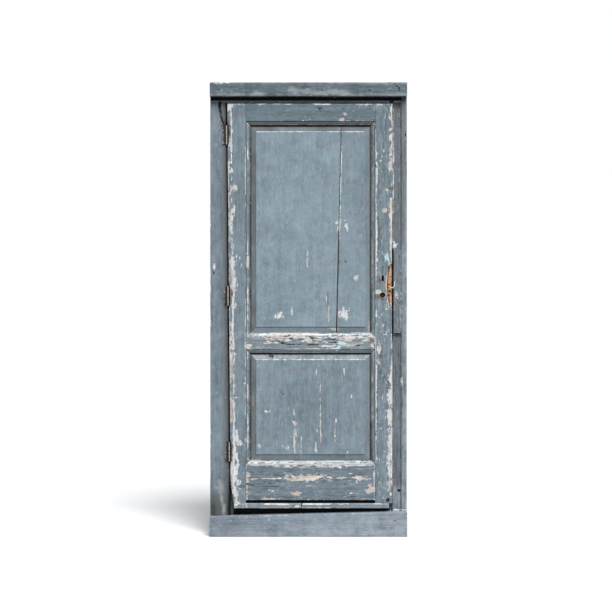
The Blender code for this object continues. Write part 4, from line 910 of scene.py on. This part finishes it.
def new_mesh(bm, name):
    mesh = bpy.data.meshes.new(name)
    bm.to_mesh(mesh)
    bm.free()
    return mesh


def place_piece(name, mesh):
    obj = bpy.data.objects.new(name, mesh)
    bpy.context.scene.collection.objects.link(obj)
    return obj


def weathered_board(node, body, finish, cell, reach, seed):
    """Replaces a CAD board by a worn, painted copy that carries its wear, dirt, painted shade and painted
    light as attributes.
    """
    bm = board_mesh(node, cell)
    outer, inner = bent_points(bm)
    mesh = new_mesh(bm, f"{node}_painted")
    points = vectors(mesh.vertices, "co")
    normals = vectors(mesh.vertex_normals, "vector")
    ends = np.zeros(len(mesh.edges) * 2, np.int32)
    mesh.edges.foreach_get("vertices", ends)
    ends = ends.reshape(-1, 2)
    lengths = np.linalg.norm(points[ends[:, 0]] - points[ends[:, 1]], axis=1)
    outer_distance = distance_from(outer, ends, lengths)
    inner_distance = distance_from(inner, ends, lengths)
    fields = paint_fields(points, normals, outer_distance, reach, seed)
    if "panel" in node:
        dress_panel(points, fields, node == "lower_panel", seed)
    elif body == "leaf":
        dress_moulding(node, points, fields, inner_distance)
    else:
        dress_frame(node, points, fields)
    if node == "lock_stile":
        fields["split"] = split_depth(points)
    points = roughen(points, normals, fields, outer_distance, seed)
    thicken_edge(node, points)
    mesh.vertices.foreach_set("co", points.astype(np.float32).ravel())
    for name, values in fields.items():
        mesh.attributes.new(name, "FLOAT", "POINT").data.foreach_set("value", values.astype(np.float32))
    mesh.shade_smooth()
    mesh.set_sharp_from_angle(angle=SMOOTH_UNDER)
    mesh.materials.append(finish)
    obj = place_piece(f"{node}_painted", mesh)
    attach(obj, body)
    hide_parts(node)


def shade(colour, share):
    return tuple(part * share for part in colour)


def new_finish(name):
    """A material, its shader, and the place on the object that noises are laid out on."""
    made = bpy.data.materials.new(name)
    made.use_nodes = True
    nodes = made.node_tree.nodes
    return made, nodes["Principled BSDF"], nodes.new("ShaderNodeTexCoord").outputs["Object"]


def feed(socket, value):
    """Links a socket to another, or sets its value. Colours are given without their opacity."""
    if isinstance(value, bpy.types.NodeSocket):
        socket.id_data.links.new(value, socket)
    else:
        socket.default_value = (*value, 1.0) if socket.type == "RGBA" else value


def add(beside, kind, sockets, **settings):
    """A shader node in the same tree as another node or socket."""
    node = beside.id_data.nodes.new("ShaderNode" + kind)
    for key, value in settings.items():
        setattr(node, key, value)
    for key, value in sockets.items():
        feed(node.inputs[key], value)
    return node


def field(beside, name):
    return add(beside, "Attribute", {}, attribute_name=name).outputs["Fac"]


def stretched(place, scale):
    return add(place, "Mapping", {"Vector": place, "Scale": scale}).outputs["Vector"]


def cloudy(place, scale, detail, roughness):
    sockets = {"Vector": place, "Scale": scale, "Detail": detail, "Roughness": roughness}
    return add(place, "TexNoise", sockets).outputs["Fac"]


def worked(operation, first, *others):
    """What a sum of the named kind makes of a socket, and of other sockets or numbers."""
    sockets = dict(enumerate((first, *others)))
    return add(first, "Math", sockets, operation=operation).outputs[0]


def product(first, second):
    return worked("MULTIPLY", first, second)


def larger(first, *others):
    for other in others:
        first = worked("MAXIMUM", first, other)
    return first


def sum_of(first, second, share=1.0):
    """first + second * share"""
    sockets = {0: second, 1: share, 2: first}
    return add(first, "Math", sockets, operation="MULTIPLY_ADD").outputs[0]


def weighted(first, share, *others):
    """A weighted sum: a socket and its share, then pairs of another value and its share."""
    total = product(first, share)
    for value, part in others:
        total = sum_of(total, value, part)
    return total


def step(value, low, high, least=0.0, most=1.0):
    """A smooth step from least to most as the value goes from low to high."""
    sockets = {"Value": value, "From Min": low, "From Max": high, "To Min": least, "To Max": most}
    node = add(value, "MapRange", sockets, interpolation_type="SMOOTHSTEP")
    return node.outputs["Result"]


def mixed(share, first, second):
    sockets = {0: share, 6: first, 7: second}
    return add(share, "Mix", sockets, data_type="RGBA").outputs[2]


def layered(colour, *layers):
    """A colour under others, each given as how far it covers and its colour."""
    for share, coat in layers:
        colour = mixed(share, colour, coat)
    return colour


def scaled(colour, share):
    sockets = {0: colour, "Scale": share}
    return add(colour, "VectorMath", sockets, operation="SCALE").outputs["Vector"]


def ragged(name, flake, shift=0.0):
    """Where a wear field shows, with an edge broken up by the flaking noise."""
    spread = sum_of(field(flake, name), flake, 0.75)
    return step(spread, *(edge - shift for edge in RAGGED))


def dress_shader(shader, colour, roughness, height, bump):
    strength, distance = bump
    sockets = {"Height": height, "Strength": strength, "Distance": distance}
    normal = add(shader, "Bump", sockets).outputs["Normal"]
    for name, value in {"Base Color": colour, "Roughness": roughness, "Normal": normal}.items():
        feed(shader.inputs[name], value)


def weathered_paint(name, paint, along, fleck, coarse, cracked):
    """Old oil paint on wood: brushed and chalky, flaked to primer and wood, with dirt, painted shade and
    painted light laid on it.

    along is the grain's axis, fleck where pale flecks begin, coarse how strongly the grain shows, and
    cracked how far it has opened in cracks.
    """
    made, shader, place = new_finish(name)
    long_way, short_way = [1.0, 1.0, 1.0], [1.0, 1.0, 1.0]
    long_way[along], short_way[along] = GRAIN_STRETCH, FLAKE_STRETCH
    grained, flaked = stretched(place, long_way), stretched(place, short_way)
    streak, fibre = cloudy(grained, *STREAK), cloudy(grained, *FIBRE)
    drift, blotch = cloudy(place, *DRIFT), cloudy(place, *BLOTCH)
    speck, tint = cloudy(place, *SPECK), cloudy(place, *TINT)
    flake = cloudy(flaked, *FLAKE)
    chipped = step(flake, *CHIPPED)
    brushed = sum_of(blotch, streak, 0.5)
    off_crack = worked("ABSOLUTE", worked("SUBTRACT", cloudy(grained, *CRACK), 0.5))
    open_here = step(cloudy(flaked, *CRACKED_AREA), *CRACKS_OPEN, 0.0, cracked)
    crack = product(step(off_crack, *CRACK_LINE), open_here)
    lip = product(step(off_crack, *CRACK_LIP), step(flake, *LIPS_SHOW, 0.0, cracked * 0.6))

    tone = weighted(
        drift, 0.5, (blotch, 0.95), (streak, 0.55 * coarse), (fibre, 0.75 * coarse),
        (speck, 1.05), (flake, 0.45 * coarse), (1.0, -0.25 - 0.875 * coarse),
    )
    cool, violet = (tuple(np.multiply(paint, shift)) for shift in (COOL_TINT, VIOLET_TINT))
    flecks = step(sum_of(flake, fibre, 0.30), fleck + 0.14, fleck + 0.18)
    specks = step(sum_of(speck, fibre, 0.35), *SPECKED)
    # Dirt and painted shade together, made patchy
    dirt_and_shade_level = sum_of(field(place, "grime_and_shade"), sum_of(blotch, flake, 0.6), 0.22)
    rusty = product(step(field(place, "rust"), *RUST_RUNS), step(flake, *RUST_FLAKES))
    bare, rot, split = (ragged(kind, chipped) for kind in ("bare", "rot", "split"))
    rim = larger(ragged("bare", chipped, 0.12), ragged("split", chipped, 0.16))
    primer = larger(ragged("primer", chipped), rim, product(flecks, 0.8), lip)

    pale = mixed(step(blotch, *EVEN), PRIMER, PRIMER_WARM)
    pale = scaled(pale, step(sum_of(fibre, speck, 0.6), *PRIMER_SOILED))
    wood = mixed(step(blotch, *EVEN), BARE_LIGHT, BARE_PINK)
    wood = mixed(step(fibre, *WOOD_FIBRE), wood, ROT_LIGHT)
    torn = mixed(step(fibre, *TORN_FIBRE), SPLIT_MIDDLE, SPLIT_LIGHT)
    colour = layered(
        scaled(mixed(step(tint, *NEARLY_EVEN), cool, violet), tone),
        # Chalk, and painted light beside the latch casing and on the mouldings
        (product(field(place, "bleach_and_light"), step(brushed, *CHALKED_AND_LIT)), CHALK_AND_LIGHT),
        (product(specks, min(0.9, 0.45 * coarse)), shade(paint, 0.40)),
        (primer, pale),
        (bare, wood),
        (ragged("mint", chipped, -0.08), MINT),
        (product(rot, 0.85), mixed(step(fibre, *EVEN), ROT_DARK, ROT_LIGHT)),
        (split, mixed(product(rot, 0.9), torn, SPLIT_DARK)),
        (rusty, RUST_STAIN),
        # Dirt and painted shade: brown, then black where strongest
        (step(dirt_and_shade_level, *DIRT_AND_SHADE_BROWN), GRIME_AND_SHADE_BROWN),
        (step(dirt_and_shade_level, *DIRT_AND_SHADE_BLACK), GRIME_AND_SHADE_BLACK),
        (step(sum_of(field(place, "smear"), brushed, 0.5), *SMEARED), SMEAR),
        (larger(ragged("fissure", chipped, 0.08), product(crack, 0.85)), GRIME_AND_SHADE_BLACK),
    )

    lost = larger(primer, bare, rot, split)
    height = weighted(
        fibre, 0.40, (streak, 0.25), (speck, 0.16), (primer, -0.34), (bare, -0.22),
        (sum_of(rot, crack, 2.0), -0.30),
    )
    dress_shader(shader, colour, step(sum_of(lost, blotch, 0.5), *PAINT_ROUGHNESS), height, PAINT_BUMP)
    feed(shader.inputs["Specular IOR Level"], step(dirt_and_shade_level, *PAINT_SHEEN))
    return made


def rusty_iron(name, coat_left, knuckled=False):
    """Pitted iron, rusted through an old coat of the jamb's paint, of which a share is left."""
    made, shader, place = new_finish(name)
    broad, pits, scale = (cloudy(place, *noise) for noise in (RUST_BROAD, RUST_PITS, RUST_SCALE))
    hold = sum_of(broad, pits, 0.25)
    if knuckled:
        spot = add(place, "SeparateXYZ", {0: place}).outputs
        beside = sum_of(sum_of(spot["X"], spot["Z"], HINGE_LEAN), 1.0, -HINGE_AXIS_AT_FLOOR)
        hold = sum_of(hold, step(beside, *FLAP_RUSTED), -0.24)
    coat = step(hold, *(edge - IRON_COAT_PULL * coat_left for edge in IRON_COAT))
    chips = step(sum_of(scale, broad, 0.5), *IRON_CHIPS)
    colour = layered(
        mixed(step(scale, *IRON_TONES), RUST_DARK, RUST_LIGHT),
        (step(pits, *IRON_PALE_PITS), RUST_PALE),
        (coat, shade(PAINTS["hinge_jamb"][0], 0.95)),
        (product(chips, coat_left), PRIMER_WARM),
    )
    if knuckled:
        # The front of the knuckle: dark rust and a painted highlight, with painted shade on its side by
        # the leaf
        worn = mixed(step(scale, *KNUCKLE_WORN), RUST_DARK, KNUCKLE_HIGHLIGHT)
        worn = mixed(step(beside, *KNUCKLE_SHADED), worn, shade(RUST_DARK, 0.6))
        colour = mixed(step(product(spot["Y"], -1.0), *KNUCKLE_PROUD), colour, worn)
        # Painted shade on the flap beside the knuckle, patchy like dark rust
        knuckle_side_shade = product(step(beside, *KNUCKLE_SHADE_RIGHT), step(beside, *KNUCKLE_SHADE_LEFT))
        colour = mixed(product(knuckle_side_shade, step(scale, *KNUCKLE_SHADE_PATCHES)), colour, shade(RUST_DARK, 0.4))
    height = weighted(pits, 0.5, (scale, 0.5), (coat, 0.3))
    dress_shader(shader, colour, step(scale, *IRON_ROUGHNESS), height, IRON_BUMP)
    shader.inputs["Metallic"].default_value = 0.15
    return made


def bare_timber(name, light, dark):
    """Unpainted weathered wood with its grain upright."""
    made, shader, place = new_finish(name)
    grain = cloudy(stretched(place, TIMBER_GRAIN_STRETCH), *TIMBER_GRAIN)
    fibre = cloudy(stretched(place, TIMBER_FIBRE_STRETCH), *TIMBER_FIBRE)
    colour = mixed(step(grain, *TIMBER_TONES), dark, light)
    colour = mixed(step(fibre, *TIMBER_DARK_FIBRE), colour, shade(dark, 0.6))
    height = weighted(grain, 0.6, (fibre, 0.4))
    dress_shader(shader, colour, step(fibre, *TIMBER_ROUGHNESS), height, TIMBER_BUMP)
    return made


def build_boards():
    """Every wooden piece of the door, in its own paint, cell size and reach of arris wear."""
    finishes = {name: weathered_paint(f"{name}_paint", *look) for name, look in PAINTS.items()}
    boards = [(node, "frame", "frame_paint", row) for node, row in FRAME_BOARDS.items()]
    boards += [(node, "leaf", "leaf_paint", row) for node, row in LEAF_BOARDS.items()]
    for number, (node, body, slot, (paint, cell, reach)) in enumerate(boards):
        weathered_board(node, body, finishes[paint], cell, reach, number * SEEDS_PER_BOARD)


def dress_ironwork():
    """New finishes on the pieces that keep their CAD shape."""
    iron = rusty_iron("rusty_iron", 0.15)
    black = rusty_iron("blackened_iron", 0.0)
    painted = rusty_iron("painted_iron", 0.95, True)
    tongue = bare_timber("tongue_timber", ROT_LIGHT, ROT_DARK)
    for name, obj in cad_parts.items():
        if obj.hide_render:
            continue
        finish = tongue if name == "panel_tongue" else painted if "flap" in name else iron
        if "nail" in name or "lock" in name:
            finish = black
        obj.data.materials.clear()
        obj.data.materials.append(finish)


def add_piece(name, bm, finish, body):
    """A piece of its own that rides on a body."""
    mesh = new_mesh(bm, name)
    mesh.materials.append(finish)
    obj = place_piece(name, mesh)
    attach(obj, body)


def splinters():
    """Torn fibres that stand up in the broken stretch beside the lock."""
    draw = random.Random(4)
    bm = bmesh.new()
    wide, deep, _ = BREAK_RADII
    for _ in range(SPLINTER_COUNT):
        length = draw.uniform(0.016, 0.060)
        thick = draw.uniform(0.0006, 0.0013)
        height = draw.uniform(-0.090, 0.090)
        room = math.sqrt(1 - (height / SPLINTER_ROOM) ** 2)
        across = draw.uniform(0.25, 0.95) * room * wide
        depth = deep * math.sqrt(max(0, room**2 - (across / wide) ** 2)) * SPLINTER_SUNK
        side_lean, front_lean = (draw.uniform(*lean) for lean in SPLINTER_LEANS)
        lean = Matrix.Rotation(side_lean, 4, "Y") @ Matrix.Rotation(front_lean, 4, "X")
        flip = Matrix.Rotation(math.pi * draw.randrange(2), 4, "X")
        where = Vector(BREAK_MIDDLE) + Vector((-across, depth, height))
        shape = {"radius1": thick, "radius2": thick * SPLINTER_TIP, "depth": length}
        place = Matrix.Translation(where) @ lean @ flip
        bmesh.ops.create_cone(bm, cap_ends=True, segments=5, matrix=place, **shape)
    timber = bare_timber("split_timber", SPLIT_MIDDLE, SPLIT_DARK)
    add_piece("broken_arris_splinters", bm, timber, "leaf")


def add_block(bm, low, high):
    middle = (Vector(low) + Vector(high)) / 2
    size = Vector(high) - Vector(low)
    place = Matrix.Translation(middle) @ Matrix.Diagonal(size).to_4x4()
    bmesh.ops.create_cube(bm, size=1.0, matrix=place)


def lock_insides():
    """The levers behind the keyhole, and the stub of a broken spindle left in the hub."""
    iron = rusty_iron("lock_iron", 0.0)
    levers = bmesh.new()
    for number, near in enumerate(LEVER_FRONTS):
        lift = LEVER_LIFT * (number % 2)
        low = (LEVER_SIDES[0], near, LEVER_HEIGHTS[0] + lift)
        add_block(levers, low, (LEVER_SIDES[1], near + LEVER_THICKNESS, LEVER_HEIGHTS[1] + lift))
    add_piece("lock_levers", levers, iron, "leaf")
    stub = bmesh.new()
    x, _, z = SPINDLE_PLACE
    half = SPINDLE_SQUARE / 2
    add_block(stub, (x - half, SPINDLE_ENDS[0], z - half), (x + half, SPINDLE_ENDS[1], z + half))
    add_piece("spindle_stub", stub, iron, "spindle_hub")


def ribbon(bm, path, width, thickness):
    """A thin strip of paint along a path, its broad side to the front, that tapers to its end."""
    rings = []
    for number, spot in enumerate(path):
        ahead = Vector(path[min(number + 1, len(path) - 1)]) - Vector(path[max(number - 1, 0)])
        half = width / 2 * (1 - CURL_TAPER * number / len(path))
        side = ahead.cross(Vector((0, -1, 0))).normalized() * half
        depth = ahead.cross(side).normalized() * thickness
        corners = (side, side + depth, depth - side, -side)
        rings.append([bm.verts.new(Vector(spot) + corner) for corner in corners])
    for first, second in zip(rings, rings[1:]):
        for a in range(4):
            b = (a + 1) % 4
            bm.faces.new((first[a], first[b], second[b], second[a]))
    bm.faces.new(rings[0])
    bm.faces.new(rings[-1])
    bmesh.ops.recalc_face_normals(bm, faces=bm.faces)


def paint_curl():
    """A curl of white paint that hangs off the broken arris across the gap."""
    bm = bmesh.new()
    ribbon(bm, CURL_PATH, CURL_WIDTH, CURL_THICKNESS)
    made, shader, place = new_finish("curled_paint")
    cloud = cloudy(place, *CURL_CLOUD)
    colour = mixed(cloud, CURL_WHITE, shade(CURL_WHITE, 0.85))
    dress_shader(shader, colour, step(cloud, *CURL_ROUGHNESS), cloud, CURL_BUMP)
    add_piece("paint_curl", bm, made, "leaf")


def stage_floor():
    """A wide pale floor that keeps the door's shadow and throws little light back up."""
    bm = bmesh.new()
    bmesh.ops.create_grid(bm, x_segments=1, y_segments=1, size=60.0)
    mesh = new_mesh(bm, "floor")
    made, shader, place = new_finish("floor_pale")
    seen = add(place, "LightPath", {}).outputs["Is Camera Ray"]
    pale = mixed(cloudy(place, *FLOOR_CLOUD), FLOOR_PALE, shade(FLOOR_PALE, FLOOR_MOTTLE))
    feed(shader.inputs["Base Color"], mixed(seen, FLOOR_BOUNCE, pale))
    shader.inputs["Roughness"].default_value = 0.9
    shader.inputs["Specular IOR Level"].default_value = 0.0
    mesh.materials.append(made)
    floor = place_piece("floor", mesh)


def light_the_scene():
    """A white backdrop, a soft sky and one soft lamp from above, in front and a little to the right."""
    world = bpy.data.worlds.new("studio")
    world.use_nodes = True
    bpy.context.scene.world = world
    tree = world.node_tree
    sky = tree.nodes["Background"]
    feed(sky.inputs["Color"], SKY)
    feed(sky.inputs["Strength"], SKY_STRENGTH)
    backdrop = add(sky, "Background", {"Color": BACKDROP, "Strength": 1.0})
    path = add(sky, "LightPath", {}).outputs
    seen = larger(path["Is Glossy Ray"], path["Is Transmission Ray"], path["Is Camera Ray"])
    both = add(sky, "MixShader", {0: seen, 1: sky.outputs[0], 2: backdrop.outputs[0]})
    feed(tree.nodes["World Output"].inputs["Surface"], both.outputs[0])
    lamp = bpy.data.lights.new("soft_lamp", "SUN")
    lamp.energy = SUN_STRENGTH
    lamp.angle = SUN_SPREAD
    holder = place_piece("soft_lamp", lamp)
    holder.rotation_euler = Vector(SUN_FROM).to_track_quat("Z", "Y").to_euler()


def set_camera():
    """Square on to the door, level with its middle."""
    lens = bpy.data.cameras.new("camera")
    lens.lens = CAMERA_LENS
    lens.sensor_width = 36.0
    camera = place_piece("camera", lens)
    camera.location = CAMERA_PLACE
    camera.rotation_euler = (math.pi / 2, 0, 0)
    bpy.context.scene.camera = camera


bpy.context.scene.view_settings.view_transform = "Standard"
set_camera()
light_the_scene()
stage_floor()
build_boards()
dress_ironwork()
splinters()
lock_insides()
paint_curl()
